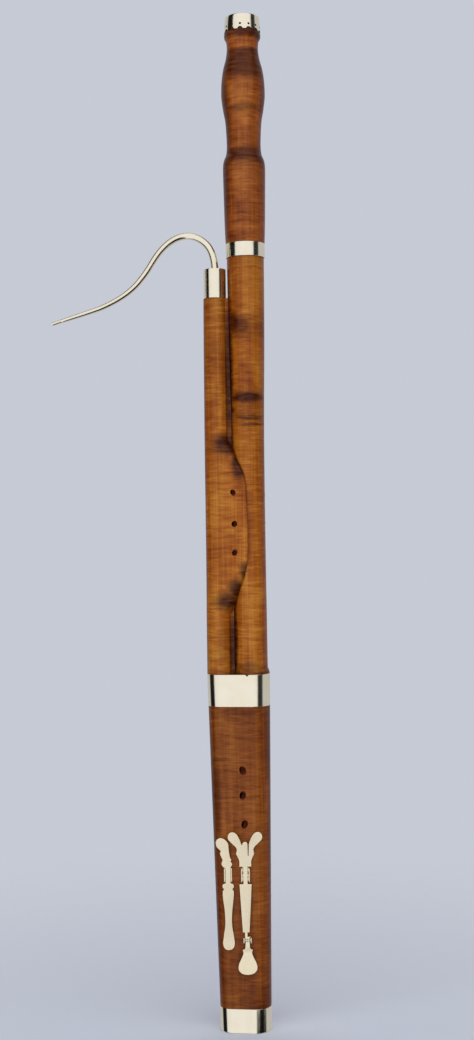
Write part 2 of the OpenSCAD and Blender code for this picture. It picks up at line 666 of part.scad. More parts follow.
// Flap lever, drawn closed and then turned to its open rest position
flap_rows = [
    [4.4, 2.6], [-5, 2.6], [-9.6, 3], [-11.4, 6.4], [-13.2, 5.6], [-15, 5.3], [-17.5, 6], [-22, 8],
    [-27, 10.4], [-31.5, 11.4], [-35, 11], [-38, 8.8], [-40, 5.2], [-40.8, 0]];
flap_band = [[-42, 1.7], [-14, 1.7], [-7, 2.9], [6, 2.9]];
tail_half = 1.5;
tail_t = 1.1;
tail_bend = 8;
bridge_v = 2.4;
bridge_l = 2;
bridge_t = 1;
tail_rest = 2;     // height of the tail's underside when the key is at rest
function tail_low(v) = tail_rest + v * sin(open_angle);
module as_opened() translate([0, 0, axle_h]) rotate([-open_angle, 0, 0]) translate([0, 0, -axle_h])
    children();

module flap_lever(shift, arm) as_opened() difference() {
    union() {
        bent_plate(both_sides(flap_rows), flap_band);
        translate([-shift, 0, 0]) bent_plate(both_sides([[arm + 1.5, tail_half], [1, tail_half]]),
            [[0, flap_band[2][1]], [tail_bend, tail_low(tail_bend)], [arm + 3, tail_low(arm + 3)]], tail_t);
        // bridge from the hub to the tail, which stands to one side of it
        translate([-tail_half - abs(shift), bridge_v, flap_band[2][1]])
            cube([2 * (tail_half + abs(shift)), bridge_l, bridge_t]);
        barrel(3.5);
    }
    axle_hole();
}
module flap_pad() as_opened() translate([0, flap_pad_v, flap_band[0][1] - pad_t])
    cylinder(h = pad_t, r = flap_pad_r);
module at_flap(span, shift = 0) translate([shift, -span, 0]) children();

module f_touch() color(brass) f_place() touch_lever(f_span, f_arm);
module f_touch_saddle() color(brass) f_place() saddle(touch_saddle_size);
module f_touch_axle() color(steel) f_place() axle(touch_saddle_size);
module f_spring() color(steel) f_place() leaf_spring();
module f_rivet() color(brass) f_place() rivet();
module f_flap() color(brass) f_place() at_flap(f_span, f_shift) flap_lever(f_shift, f_arm);
module f_flap_saddle() color(brass) f_place() at_flap(f_span, f_shift) saddle(flap_saddle_size);
module f_flap_axle() color(steel) f_place() at_flap(f_span, f_shift) axle(flap_saddle_size);
module f_pad() color(leather) f_place() at_flap(f_span, f_shift) flap_pad();

module d_touch() color(brass) d_place() touch_lever(d_span, d_arm);
module d_touch_saddle() color(brass) d_place() saddle(touch_saddle_size);
module d_touch_axle() color(steel) d_place() axle(touch_saddle_size);
module d_spring() color(steel) d_place() leaf_spring();
module d_rivet() color(brass) d_place() rivet();
module d_flap() color(brass) d_place() at_flap(d_span) flap_lever(0, d_arm);
module d_flap_saddle() color(brass) d_place() at_flap(d_span) saddle(flap_saddle_size);
module d_flap_axle() color(steel) d_place() at_flap(d_span) axle(flap_saddle_size);
module d_pad() color(leather) d_place() at_flap(d_span) flap_pad();

module bflat_touch() color(brass) bflat_place() touch_lever(bflat_span, bflat_arm);
module bflat_touch_saddle() color(brass) bflat_place() saddle(touch_saddle_size);
module bflat_touch_axle() color(steel) bflat_place() axle(touch_saddle_size);
module bflat_spring() color(steel) bflat_place() leaf_spring();
module bflat_rivet() color(brass) bflat_place() rivet();
module bflat_flap() color(brass) bflat_place() at_flap(bflat_span) flap_lever(0, bflat_arm);
module bflat_flap_saddle() color(brass) bflat_place() at_flap(bflat_span) saddle(flap_saddle_size);
module bflat_flap_axle() color(steel) bflat_place() at_flap(bflat_span) axle(flap_saddle_size);
module bflat_pad() color(leather) bflat_place() at_flap(bflat_span) flap_pad();

module open_key_screws(span, shift) {
    saddle_screw_set(touch_saddle_size);
    at_flap(span, shift) saddle_screw_set(flap_saddle_size);
}
module boot_saddle_screws() color(steel) {
    gsharp_place() saddle_screw_set(gsharp_saddle_size);
    f_place() open_key_screws(f_span, f_shift);
}
module long_saddle_screws() color(steel) {
    d_place() open_key_screws(d_span, 0);
    bflat_place() open_key_screws(bflat_span, 0);
}

boot_joint();
boot_top_band();
boot_bottom_cap();
boot_cork_plug();
long_joint();
long_lower_lapping();
long_upper_lapping();
wing_joint();
wing_lapping();
wing_ferrule();
bell_joint();
bell_socket_ring();
bell_crown();
bocal();
bocal_lapping();
strap_post();
strap_ring();
gsharp_key();
gsharp_pad();
gsharp_saddle();
gsharp_axle();
gsharp_spring();
gsharp_rivet();
f_touch();
f_touch_saddle();
f_touch_axle();
f_spring();
f_rivet();
f_flap();
f_flap_saddle();
f_flap_axle();
f_pad();
d_touch();
d_touch_saddle();
d_touch_axle();
d_spring();
d_rivet();
d_flap();
d_flap_saddle();
d_flap_axle();
d_pad();
bflat_touch();
bflat_touch_saddle();
bflat_touch_axle();
bflat_spring();
bflat_rivet();
bflat_flap();
bflat_flap_saddle();
bflat_flap_axle();
bflat_pad();
boot_saddle_screws();
long_saddle_screws();
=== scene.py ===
import json
import math

import bmesh
import bpy
from mathutils import Matrix, Vector


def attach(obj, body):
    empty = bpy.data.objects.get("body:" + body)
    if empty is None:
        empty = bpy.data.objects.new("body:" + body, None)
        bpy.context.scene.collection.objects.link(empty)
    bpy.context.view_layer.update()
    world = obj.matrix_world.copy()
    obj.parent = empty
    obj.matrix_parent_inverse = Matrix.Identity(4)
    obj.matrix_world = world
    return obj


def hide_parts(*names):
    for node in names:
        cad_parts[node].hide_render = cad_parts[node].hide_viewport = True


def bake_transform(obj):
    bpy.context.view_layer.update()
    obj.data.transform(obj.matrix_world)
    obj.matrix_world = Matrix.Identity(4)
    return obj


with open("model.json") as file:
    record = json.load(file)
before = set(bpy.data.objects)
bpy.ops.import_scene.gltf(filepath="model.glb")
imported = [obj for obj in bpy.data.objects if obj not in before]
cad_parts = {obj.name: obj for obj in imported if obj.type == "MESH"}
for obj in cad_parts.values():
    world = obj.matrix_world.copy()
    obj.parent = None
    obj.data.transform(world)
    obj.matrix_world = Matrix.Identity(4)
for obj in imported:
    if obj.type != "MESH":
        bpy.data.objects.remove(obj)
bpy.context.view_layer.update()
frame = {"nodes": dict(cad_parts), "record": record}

# One piece stands for nearly every CAD node. Sizes are in mm, +Z runs up along the bores and -Y is the front.
BODY = {n: b for b, nodes in frame["record"]["behaviour"]["bodies"].items() for n in nodes}
MM = 0.001
SHARP = math.radians(33)

# ---------------------------------------------------------------- sizes of the CAD model, in mm
BOOT_H, BAND_H, CAP_H, CAP_FLOOR, WALL = 436.5, 39.0, 29.5, 1.2, 0.9
BELL_Z, WING_TOP, LONG_X, WING_X = 945.3, 932.0, 12.0, -26.0
TENON_L, LONG_TENON_R, WING_TENON_R, LAP, TENON_GAP = 46.0, 16.6, 12.0, 0.7, 0.08
FERRULE_H, FERRULE_R, SOCKET_Z, SOCKET_R = 36.0, 13.65, 898.0, 5.5
BOCAL_R, TIP_R = 4.8, 2.2
GROOVE_R, BELL_TENON_L, BELL_TENON_R = 20.9, 42.0, 18.5
RING_H, RING_R, BELL_BORE, BELL_TOP, CROWN_Z = 17.2, 24.0, 15.3, 1239.0, 1221.0
LIP_H, LIP_END_X, LIP_CUT_R = 14.0, -2.0, 20.3
PLATE_T, AXLE_R, AXLE_H, BARREL_R = 1.7, 0.9, 3.9, 2.0
OPEN = math.radians(7)


# ---------------------------------------------------------------- curves and outlines
def catmull(a, b, c, d, t):
    return [0.5 * (2 * q + (r - p) * t + (2 * p - 5 * q + 4 * r - s) * t * t
                   + (3 * q - p - 3 * r + s) * t ** 3) for p, q, r, s in zip(a, b, c, d)]


def smooth(points, n):
    out, last = [], len(points) - 1
    for i in range(last):
        for k in range(n):
            out.append(catmull(points[max(i - 1, 0)], points[i], points[i + 1],
                               points[min(i + 2, last)], k / n))
    return out + [list(points[last])]


def soften(points, size, closed=True, steps=4, corner=25):
    """The outline with every corner sharper than `corner` degrees rounded over about `size`."""
    out, n = [], len(points)
    for i, p in enumerate(points):
        if not closed and i in (0, n - 1):
            out.append(list(p))
            continue
        p, a, b = Vector(p), Vector(points[i - 1]), Vector(points[(i + 1) % n])
        ia, ib = a - p, b - p
        if ia.length < 1e-6 or ib.length < 1e-6:
            continue
        if ia.angle(-ib) < math.radians(corner):
            out.append(list(p))
            continue
        s = p + ia.normalized() * min(size, ia.length * 0.45)
        e = p + ib.normalized() * min(size, ib.length * 0.45)
        for k in range(steps + 1):
            t = k / steps
            out.append(list(s * (1 - t) ** 2 + p * 2 * t * (1 - t) + e * t * t))
    return out


def lerp_table(rows, x):
    if x <= rows[0][0]:
        return rows[0][1]
    for (x0, y0), (x1, y1) in zip(rows, rows[1:]):
        if x <= x1:
            return y0 + (y1 - y0) * (x - x0) / (x1 - x0)
    return rows[-1][1]


def arc(x, r, start, turn, n):
    """Points of the circle round (x, 0), in n steps from the angle start."""
    return [(x + r * math.cos(start + turn * k / n), r * math.sin(start + turn * k / n))
            for k in range(n + 1)]


def circle(x, r, n):
    return arc(x, r, 0.0, 2 * math.pi, n)[:-1]


def rect(u0, v0, u1, v1):
    return [(u0, v0), (u1, v0), (u1, v1), (u0, v1)]


def at_height(points, z):
    return [(px, py, z) for px, py in points]


def bar(u, v, w0, w1):
    """The two end rings of a block that reaches u and v to each side of its axis."""
    return [at_height([(u, v), (-u, v), (-u, -v), (u, -v)], w) for w in (w0, w1)]


def tube_rings(line, radii, sides):
    """Rings round points in the XZ plane."""
    rings = []
    for i, p in enumerate(line):
        a, b = Vector(line[max(i - 1, 0)]), Vector(line[min(i + 1, len(line) - 1)])
        way = (b - a).normalized()
        out = Vector((way.z, 0, -way.x))
        rings.append([Vector(p) + radii[i] * (math.cos(t) * out + math.sin(t) * Vector((0, 1, 0)))
                      for t in (2 * math.pi * k / sides for k in range(sides))])
    return rings


# ---------------------------------------------------------------- mesh building, in mm
def grid_faces(rows, count, wrap_rows=False):
    faces = []
    for i in range(rows if wrap_rows else rows - 1):
        a, b = i * count, ((i + 1) % rows) * count
        faces += [(a + k, a + (k + 1) % count, b + (k + 1) % count, b + k) for k in range(count)]
    return faces


class Shape:
    """Points and faces gathered in mm, from one or more closed bodies."""

    def __init__(self):
        self.points, self.faces, self.material = [], [], None

    def add(self, points, faces, matrix=None):
        base = len(self.points)
        self.points += [matrix @ Vector(p) if matrix else Vector(p) for p in points]
        self.faces += [tuple(base + i for i in f) for f in faces]
        return self

    def loft(self, rings, matrix=None, wrap=False):
        count = len(rings[0])
        faces = grid_faces(len(rings), count, wrap)
        if not wrap:
            faces += [tuple(range(count))[::-1], tuple((len(rings) - 1) * count + k for k in range(count))]
        return self.add([p for ring in rings for p in ring], faces, matrix)

    def lathe(self, profile, segs=96, matrix=None, wrap=False, x=0.0):
        return self.loft([at_height(circle(x, r, segs), z) for r, z in profile], matrix, wrap)

    def mesh(self, name):
        mesh = bpy.data.meshes.new(name)
        mesh.from_pydata([p * MM for p in self.points], [], self.faces)
        bm = bmesh.new()
        bm.from_mesh(mesh)
        bmesh.ops.remove_doubles(bm, verts=bm.verts, dist=1e-6)
        bmesh.ops.recalc_face_normals(bm, faces=bm.faces)
        bm.to_mesh(mesh)
        bm.free()
        return mesh

    def made_of(self, material):
        self.material = material
        return self

    def object(self, name):
        obj = bpy.data.objects.new(name, self.mesh(name))
        if self.material:
            obj.data.materials.append(self.material)
        bpy.context.scene.collection.objects.link(obj)
        return obj


def evaluated(obj):
    """Replaces obj's mesh by what its modifiers give."""
    graph = bpy.context.evaluated_depsgraph_get()
    mesh = bpy.data.meshes.new_from_object(obj.evaluated_get(graph))
    obj.modifiers.clear()
    obj.data = mesh
    return obj


def cut(obj, *shapes, how="DIFFERENCE"):
    tools = [s.object(f"tool_{i}") for i, s in enumerate(shapes)]
    for tool in tools:
        m = obj.modifiers.new("cut", "BOOLEAN")
        m.operation, m.object, m.solver, m.material_mode = how, tool, "EXACT", "TRANSFER"
    evaluated(obj)
    for tool in tools:
        bpy.data.objects.remove(tool)
    return obj


BAND_STEP = 3.0


def plate(outline, thick, edge, matrix, band=None):
    """A flat plate with rounded edges, lying from w = 0 to thick, bent to the underside heights of band."""
    curve = bpy.data.curves.new("plate", "CURVE")
    curve.dimensions, curve.fill_mode = "2D", "BOTH"
    spline = curve.splines.new("POLY")
    spline.points.add(len(outline) - 1)
    for point, (u, v) in zip(spline.points, outline):
        point.co = (u, v, 0, 1)
    spline.use_cyclic_u = True
    curve.extrude, curve.bevel_depth, curve.bevel_resolution, curve.offset = thick / 2 - edge, edge, 2, -edge
    obj = bpy.data.objects.new("plate", curve)
    bpy.context.scene.collection.objects.link(obj)
    mesh = bpy.data.meshes.new_from_object(obj.evaluated_get(bpy.context.evaluated_depsgraph_get()))
    bpy.data.objects.remove(obj)
    bm = bmesh.new()
    bm.from_mesh(mesh)
    bmesh.ops.remove_doubles(bm, verts=bm.verts, dist=1e-4)
    if band:
        low, high = min(v.co.y for v in bm.verts), max(v.co.y for v in bm.verts)
        for k in range(1, int((high - low) / BAND_STEP)):
            geom = bm.verts[:] + bm.edges[:] + bm.faces[:]
            bmesh.ops.bisect_plane(bm, geom=geom, plane_co=(0, low + k * BAND_STEP, 0), plane_no=(0, 1, 0))
        for v in bm.verts:
            bend = sum(lerp_table(band, v.co.y + d) for d in (-1.6, -0.8, 0, 0.8, 1.6)) / 5
            v.co.z += bend
    bmesh.ops.recalc_face_normals(bm, faces=bm.faces)
    for v in bm.verts:
        v.co.z += thick / 2
    bm.verts.ensure_lookup_table()
    points, faces = [v.co.copy() for v in bm.verts], [[v.index for v in f.verts] for f in bm.faces]
    bm.free()
    return points, faces, matrix


def finish(obj, material, node, sharp=SHARP, weighted=True):
    """Shading, material and body for a piece that stands for a CAD node."""
    mesh = obj.data
    if not any(mesh.materials):
        mesh.materials.clear()
        mesh.materials.append(material)
    for face in mesh.polygons:
        face.use_smooth = True
    mesh.set_sharp_from_angle(angle=sharp)
    if weighted:
        obj.modifiers.new("flat_faces", "WEIGHTED_NORMAL").keep_sharp = True
        evaluated(obj)
    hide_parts(node)
    if "blend" not in obj:
        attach(obj, BODY[node])
    return obj


# ---------------------------------------------------------------- materials
def rgba(value):
    return (*value, 1) if isinstance(value, tuple) else value


class Tree:
    """Short names for building nodes."""

    def __init__(self, tree):
        self.tree = tree

    def make(self, kind, **settings):
        node = self.tree.nodes.new(kind)
        for key, value in settings.items():
            setattr(node, key, value)
        return node

    def put(self, socket, value):
        if isinstance(value, bpy.types.NodeSocket):
            self.tree.links.new(value, socket)
        else:
            socket.default_value = value

    def math(self, how, a, b=0.0, c=0.0, clamp=False):
        node = self.make("ShaderNodeMath", operation=how, use_clamp=clamp)
        for i, v in enumerate((a, b, c)):
            self.put(node.inputs[i], v)
        return node.outputs[0]

    def ramp(self, fac, stops, smooth_ends=False):
        node = self.make("ShaderNodeValToRGB")
        self.put(node.inputs[0], fac)
        elements = node.color_ramp.elements
        node.color_ramp.interpolation = "EASE" if smooth_ends else "LINEAR"
        while len(elements) < len(stops):
            elements.new(0.5)
        for element, (place, colour) in zip(elements, stops):
            element.position = place
            element.color = (*colour, 1) if isinstance(colour, tuple) else (colour, colour, colour, 1)
        return node.outputs["Color"]


class Nodes(Tree):
    """A new material's nodes."""

    def __init__(self, name):
        self.material = bpy.data.materials.new(name)
        self.material.use_nodes = True
        super().__init__(self.material.node_tree)
        self.shader = self.tree.nodes["Principled BSDF"]
        self.coords = self.make("ShaderNodeTexCoord").outputs["Object"]

    def scaled(self, scale, vector=None):
        node = self.make("ShaderNodeMapping")
        self.put(node.inputs["Vector"], vector or self.coords)
        node.inputs["Scale"].default_value = scale
        return node.outputs[0]

    def noise(self, scale, detail=2.0, rough=0.5, distortion=0.0, vector=None):
        """Noise whose scale is given along x, y and z, in features per metre."""
        node = self.make("ShaderNodeTexNoise")
        self.put(node.inputs["Vector"], self.scaled(scale, vector))
        settings = {"Scale": 1.0, "Detail": detail, "Roughness": rough, "Distortion": distortion}
        for key, value in settings.items():
            node.inputs[key].default_value = value
        return node.outputs["Fac"]

    def mix(self, fac, a, b, how="MIX"):
        node = self.make("ShaderNodeMix", data_type="RGBA", blend_type=how)
        self.put(node.inputs["Factor"], fac)
        for socket, value in ((node.inputs[6], a), (node.inputs[7], b)):
            self.put(socket, rgba(value))
        return node.outputs[2]

    def bump(self, height, strength, distance):
        node = self.make("ShaderNodeBump")
        node.inputs["Strength"].default_value = strength
        node.inputs["Distance"].default_value = distance
        self.put(node.inputs["Height"], height)
        self.put(self.shader.inputs["Normal"], node.outputs[0])

    def set(self, **values):
        for key, value in values.items():
            self.put(self.shader.inputs[key.replace("_", " ")], rgba(value))
        return self.material


STAIN_AND_SHADE, STAIN_TOP, BLOB_BACK = (0.055, 0.008, 0.002), 1250, 4


def wood(name, deep, mid, pale, stains_and_shade, blobs, seed, side_shade_tint=(0.8, 0.66, 0.5)):
    """Stained, flamed maple, with painted shade in some of its dark places. The height table is (z,
    darkness); blobs are (x, z, rx, rz, darkness) on the front.
    """
    n = Nodes(name)
    split = n.make("ShaderNodeSeparateXYZ")
    n.put(split.inputs[0], n.coords)
    x, y, z = split.outputs
    shifted = n.make("ShaderNodeVectorMath", operation="ADD")
    n.put(shifted.inputs[0], n.coords)
    shifted.inputs[1].default_value = (seed, seed * 1.7, seed * 0.6)
    at = shifted.outputs[0]
    flame = n.noise((34, 34, 210), 2.0, 0.5, 1.1, at)
    fine_flame = n.noise((70, 70, 620), 2.0, 0.5, 0.5, at)
    streak = n.noise((800, 800, 8), 3.0, 0.6, 0.2, at)
    wide_streak = n.noise((190, 190, 5), 2.0, 0.5, 0.4, at)
    patch = n.noise((26, 26, 9), 2.0, 0.5, 0.8, at)
    pores = n.noise((3200, 3200, 140), 2.0, 0.6, 0.0, at)
    tone = 0.5
    layers = ((flame, 0.62), (fine_flame, 0.4), (streak, 0.22), (wide_streak, 0.45), (patch, 0.85))
    for layer, weight in layers:
        tone = n.math("ADD", tone, n.math("MULTIPLY_ADD", layer, weight, -0.5 * weight))
    colour = n.ramp(tone, [(0.2, deep), (0.5, mid), (0.8, pale)])
    # thin dark curls across the grain, in some places, and pale streaks along it
    curl = n.ramp(n.noise((42, 42, 640), 1.0, 0.5, 0.9, at), [(0.56, 0.0), (0.66, 0.55)])
    some_places = n.ramp(n.noise((22, 22, 16), 1.0, 0.5, 0.3, at), [(0.42, 0.15), (0.62, 1.0)])
    colour = n.mix(n.math("MULTIPLY", curl, some_places), colour, deep)
    pale_streak = n.ramp(n.noise((420, 420, 6), 2.0, 0.5, 0.3, at), [(0.6, 0.0), (0.72, 0.35)])
    colour = n.mix(pale_streak, colour, pale)
    # dark stain and painted shade by height, with a slightly wandering edge and the flames showing through
    wander = n.math("MULTIPLY_ADD", n.noise((60, 60, 60), 2.0, 0.5, 0.5, at), 0.006, -0.003)
    height = n.math("MULTIPLY", n.math("ADD", z, wander), 1 / (STAIN_TOP * MM))
    stain_and_shade = n.ramp(height, [(p / STAIN_TOP, v) for p, v in stains_and_shade])
    # dark places on the front: stain in some, painted shade in others
    for bx, bz, rx, rz, depth in blobs:
        dx = n.math("MULTIPLY", n.math("SUBTRACT", x, bx * MM), 1 / (rx * MM))
        dz = n.math("MULTIPLY", n.math("SUBTRACT", n.math("ADD", wander, z), bz * MM), 1 / (rz * MM))
        far = n.math("SQRT", n.math("ADD", n.math("MULTIPLY", dx, dx), n.math("MULTIPLY", dz, dz)))
        far = n.math("MULTIPLY_ADD", patch, 0.3, n.math("SUBTRACT", far, 0.15))
        near = n.math("MULTIPLY", n.ramp(far, [(0.3, 1.0), (1.0, 0.0)], True), depth)
        front = n.math("LESS_THAN", y, BLOB_BACK * MM)
        stain_and_shade = n.math("MAXIMUM", stain_and_shade, n.math("MULTIPLY", near, front))
    stain_and_shade = n.math("MULTIPLY", stain_and_shade, n.math("MULTIPLY_ADD", flame, -0.7, 1.3), clamp=True)
    colour = n.mix(stain_and_shade, colour, STAIN_AND_SHADE)
    # painted sheen and shade: the colour stays light where the surface faces the view, and is darkened and
    # reddened where it turns away
    rim = n.make("ShaderNodeLayerWeight")
    rim.inputs["Blend"].default_value = 0.5
    painted_sheen_and_shade = n.ramp(rim.outputs["Facing"], [(0.03, (1, 1, 1)), (0.4, side_shade_tint), (1, (0.5, 0.3, 0.2))])
    colour = n.mix(1.0, colour, painted_sheen_and_shade, "MULTIPLY")
    pore_dark = n.ramp(pores, [(0.3, 0.72), (0.46, 1.0)])
    colour = n.mix(0.5, colour, pore_dark, "MULTIPLY")
    rough = n.math("MULTIPLY_ADD", streak, 0.14, 0.24)
    n.bump(n.math("ADD", n.math("MULTIPLY", pores, 0.6), streak), 0.18, 0.00012)
    return n.set(Base_Color=colour, Roughness=rough, Specular_IOR_Level=0.17)


def bore_material(name, dark, light):
    """Oiled end grain inside the holes and the groove; its darker copy is painted shade as well."""
    n = Nodes(name)
    grain = n.noise((900, 900, 300), 3.0, 0.6)
    n.bump(grain, 0.3, 0.0003)
    return n.set(Base_Color=n.ramp(grain, [(0.3, dark), (0.7, light)]), Roughness=0.7,
                 Specular_IOR_Level=0.12)


def brass(name, tint, roughness, wave):
    """Polished brass with hairline scratches, slight tarnish and a hand-burnished unevenness."""
    n = Nodes(name)
    cloud = n.noise((70, 70, 55), 3.0, 0.55, 0.4)
    hairs = n.noise((260, 260, 5200), 2.0, 0.6)
    cross = n.noise((4200, 4200, 160), 2.0, 0.6)
    spots = n.noise((900, 900, 900), 3.0, 0.6)
    tarnish, dull = tuple(c * k for c, k in zip(tint, (0.93, 0.86, 0.7))), tuple(c * 0.72 for c in tint)
    colour = n.mix(n.ramp(cloud, [(0.35, 0.0), (0.75, 0.35)]), tint, tarnish)
    colour = n.mix(n.ramp(spots, [(0.62, 0.0), (0.8, 0.4)]), colour, dull)
    rough = n.math("MULTIPLY_ADD", n.math("ADD", hairs, cross), 0.07, roughness - 0.07)
    rough = n.math("MULTIPLY_ADD", cloud, 0.08, rough)
    height = n.math("MULTIPLY_ADD", n.noise((55, 55, 40), 1.0), wave, n.math("MULTIPLY", hairs, 0.012))
    n.bump(height, 0.5, 0.001)
    return n.set(Base_Color=colour, Metallic=1.0, Roughness=rough)


def steel_material():
    n = Nodes("blued_steel")
    grain = n.noise((1500, 300, 1500), 3.0, 0.6)
    colour = n.ramp(grain, [(0.3, (0.25, 0.27, 0.31)), (0.7, (0.52, 0.54, 0.58))])
    n.bump(grain, 0.15, 0.0001)
    return n.set(Base_Color=colour, Metallic=1.0, Roughness=n.math("MULTIPLY_ADD", grain, 0.2, 0.2))


def thread_material():
    n = Nodes("waxed_thread")
    fibre = n.noise((1400, 1400, 5200), 3.0, 0.6)
    worn = n.noise((90, 90, 240), 2.0)
    colour = n.ramp(n.math("MULTIPLY_ADD", worn, 0.4, n.math("MULTIPLY", fibre, 0.6)),
                    [(0.3, (0.17, 0.012, 0.01)), (0.5, (0.42, 0.035, 0.026)), (0.72, (0.6, 0.12, 0.08))])
    n.bump(fibre, 0.5, 0.0003)
    return n.set(Base_Color=colour, Roughness=0.62, Sheen_Weight=0.25)


def leather_material():
    n = Nodes("pad_leather")
    skin = n.noise((1700, 1700, 1700), 4.0, 0.62)
    soil = n.noise((160, 160, 160), 2.0)
    clean = n.ramp(skin, [(0.3, (0.42, 0.31, 0.19)), (0.7, (0.62, 0.5, 0.34))])
    colour = n.mix(n.ramp(soil, [(0.4, 0.0), (0.75, 0.6)]), clean, (0.3, 0.19, 0.1))
    n.bump(skin, 0.45, 0.0003)
    return n.set(Base_Color=colour, Roughness=0.7)


def cork_material():
    n = Nodes("cork_grain")
    cells = n.make("ShaderNodeTexVoronoi")
    n.put(cells.inputs["Vector"], n.coords)
    cells.inputs["Scale"].default_value = 900
    flecks = n.noise((500, 500, 500), 4.0, 0.65)
    colour = n.ramp(n.math("MULTIPLY_ADD", cells.outputs["Distance"], 0.5, flecks),
                    [(0.45, (0.2, 0.09, 0.035)), (0.7, (0.5, 0.3, 0.14)), (0.95, (0.66, 0.45, 0.25))])
    n.bump(cells.outputs["Distance"], 0.5, 0.0004)
    return n.set(Base_Color=colour, Roughness=0.85)


GOLDEN = ((0.25, 0.046, 0.003), (0.49, 0.138, 0.011), (0.70, 0.29, 0.036))
CHESTNUT = ((0.18, 0.034, 0.004), (0.41, 0.106, 0.016), (0.62, 0.205, 0.035))
RED_BROWN = ((0.135, 0.025, 0.003), (0.30, 0.077, 0.008), (0.47, 0.155, 0.022))
# Darkness by height, as (z, darkness)
LONG_STAINS = [
    (430, 0.85), (440, 0.7), (448, 0.12), (500, 0.05), (738, 0.05), (748, 0.3), (780, 0.3), (788, 0.05),
    (842, 0.08),
    (849, 0.35), (871, 0.35), (880, 0.06), (930, 0.12), (945, 0.3)]
WING_STAINS = [
    (430, 0.5), (446, 0.15), (500, 0.0), (740, 0.03), (800, 0.16), (836, 0.3), (852, 0.14), (886, 0.2),
    (896, 0.4)]
BOOT_STAINS = [(29, 0.3), (50, 0.1), (150, 0.12), (230, 0.06), (330, 0.1), (380, 0.2), (398, 0.42)]
# the dark from 1214 up is stain on the bead under the crown and painted shade behind the crown's piercings
BELL_STAIN_AND_SHADE = [
    (960, 0.3), (975, 0.1), (1030, 0.12), (1056, 0.3), (1063, 0.85), (1076, 0.8), (1080, 0.16), (1112, 0.05),
    (1135, 0.02), (1158, 0.2), (1166, 0.8), (1197.5, 0.85), (1199.5, 0.0), (1212.5, 0.0), (1214, 0.9)]
# Dark places on the front, as (x, z, half width, half height, darkness)
# Wing: dark in the hollows where the ear meets the tube, stain and painted shade together, and painted shade
# down the seam beside the long joint (x -10.5 and -9.5)
EAR_SHADE_AND_STAIN = [
    (-13, 717, 29, 21, 1.0), (0, 692, 14, 27, 0.95), (-13, 526, 27, 18, 1.0), (-3, 540, 18, 20, 1.0),
    (6, 562, 10, 18, 0.9), (-10.5, 800, 6, 130, 1.0), (-9.5, 465, 7, 75, 1.0), (-22, 470, 12, 50, 0.3)]
# Long joint: the tall narrow places at x -10.5 and -7 are painted shade down the seam beside the wing
LONG_STAIN_AND_SHADE = [
    (-4, 864, 13, 20, 0.95), (7, 862, 14, 17, 0.75), (12, 774, 34, 10, 1.0), (-9, 758, 10, 7, 0.9),
    (14, 749, 30, 5, 0.8), (17, 741, 26, 3, 0.7), (-10.5, 820, 8, 150, 1.0), (-7, 470, 5, 75, 0.95),
    (33, 700, 3, 30, 0.5), (34, 560, 4, 16, 0.6), (10, 446, 25, 9, 0.6)]
BELL_BLOBS = [(-14, 1090, 14, 190, 0.75), (38, 1130, 8, 140, 0.45), (8, 1125, 40, 9, 0.6)]
BOOT_BLOBS = [(-36, 285, 14, 130, 0.55), (-38, 120, 12, 80, 0.5), (37, 250, 12, 160, 0.5)]
# the darker copy is painted shade as well as dark end grain, deep in the holes and in the groove; the lighter
# one lines the holes' mouths
shaded_bore_wood = bore_material("shaded_bore_wood", (0.022, 0.005, 0.002), (0.06, 0.014, 0.005))
mouth_wood = bore_material("mouth_wood", (0.09, 0.013, 0.005), (0.17, 0.032, 0.012))
wing_wood = wood("stained_maple_wing", *GOLDEN, WING_STAINS, EAR_SHADE_AND_STAIN, 0.31, (0.85, 0.78, 0.65))
long_wood = wood("stained_maple_long", *GOLDEN, LONG_STAINS, LONG_STAIN_AND_SHADE, 1.43, (0.88, 0.8, 0.65))
boot_wood = wood("stained_maple_boot", *RED_BROWN, BOOT_STAINS, BOOT_BLOBS, 2.7)
bell_wood = wood("stained_maple_bell", *CHESTNUT, BELL_STAIN_AND_SHADE, BELL_BLOBS, 4.1)
BRASS_TINT, KEY_TINT = (0.84, 0.785, 0.635), (0.83, 0.74, 0.545)
mount_brass = brass("polished_brass", BRASS_TINT, 0.1, 0.1)
key_brass = brass("satin_brass", KEY_TINT, 0.2, 0.03)
tube_brass = brass("drawn_brass", BRASS_TINT, 0.13, 0.02)
steel, thread, leather, cork = steel_material(), thread_material(), leather_material(), cork_material()


# ---------------------------------------------------------------- boot joint
def oval(z, inset, turns=36, flat=7):
    """The boot's section: two circles and their tangents."""
    x1, r1 = -15 - 9.5 * z / BOOT_H, 16 + 1.5 * z / BOOT_H - inset
    x2, r2 = LONG_X + z / BOOT_H, 19 + 3 * z / BOOT_H - inset
    phi = math.acos((r1 - r2) / (x2 - x1))
    ring = at_height(arc(x2, r2, -phi, 2 * phi, turns), z)
    back = at_height(arc(x1, r1, phi, 2 * math.pi - 2 * phi, turns), z)

    def between(p, q):
        return [tuple(a + (b - a) * k / flat for a, b in zip(p, q)) for k in range(1, flat)]
    return ring + between(ring[-1], back[0]) + back + between(back[-1], ring[0])


def rows(z0, z1, step):
    n = max(1, round((z1 - z0) / step))
    return [z0 + (z1 - z0) * k / n for k in range(n + 1)]


def cylinder(matrix, r, z0, z1, segs=40):
    return Shape().lathe([(r, z0), (r, z1)], segs, matrix)


def aim(start, end):
    """Matrix with its origin at start and its +Z along the way to end."""
    way = Vector(end) - Vector(start)
    return Matrix.Translation(start) @ way.to_track_quat("Z", "Y").to_matrix().to_4x4(), way.length


MOUTH_L, MOUTH_TALL = 4.5, 1.24


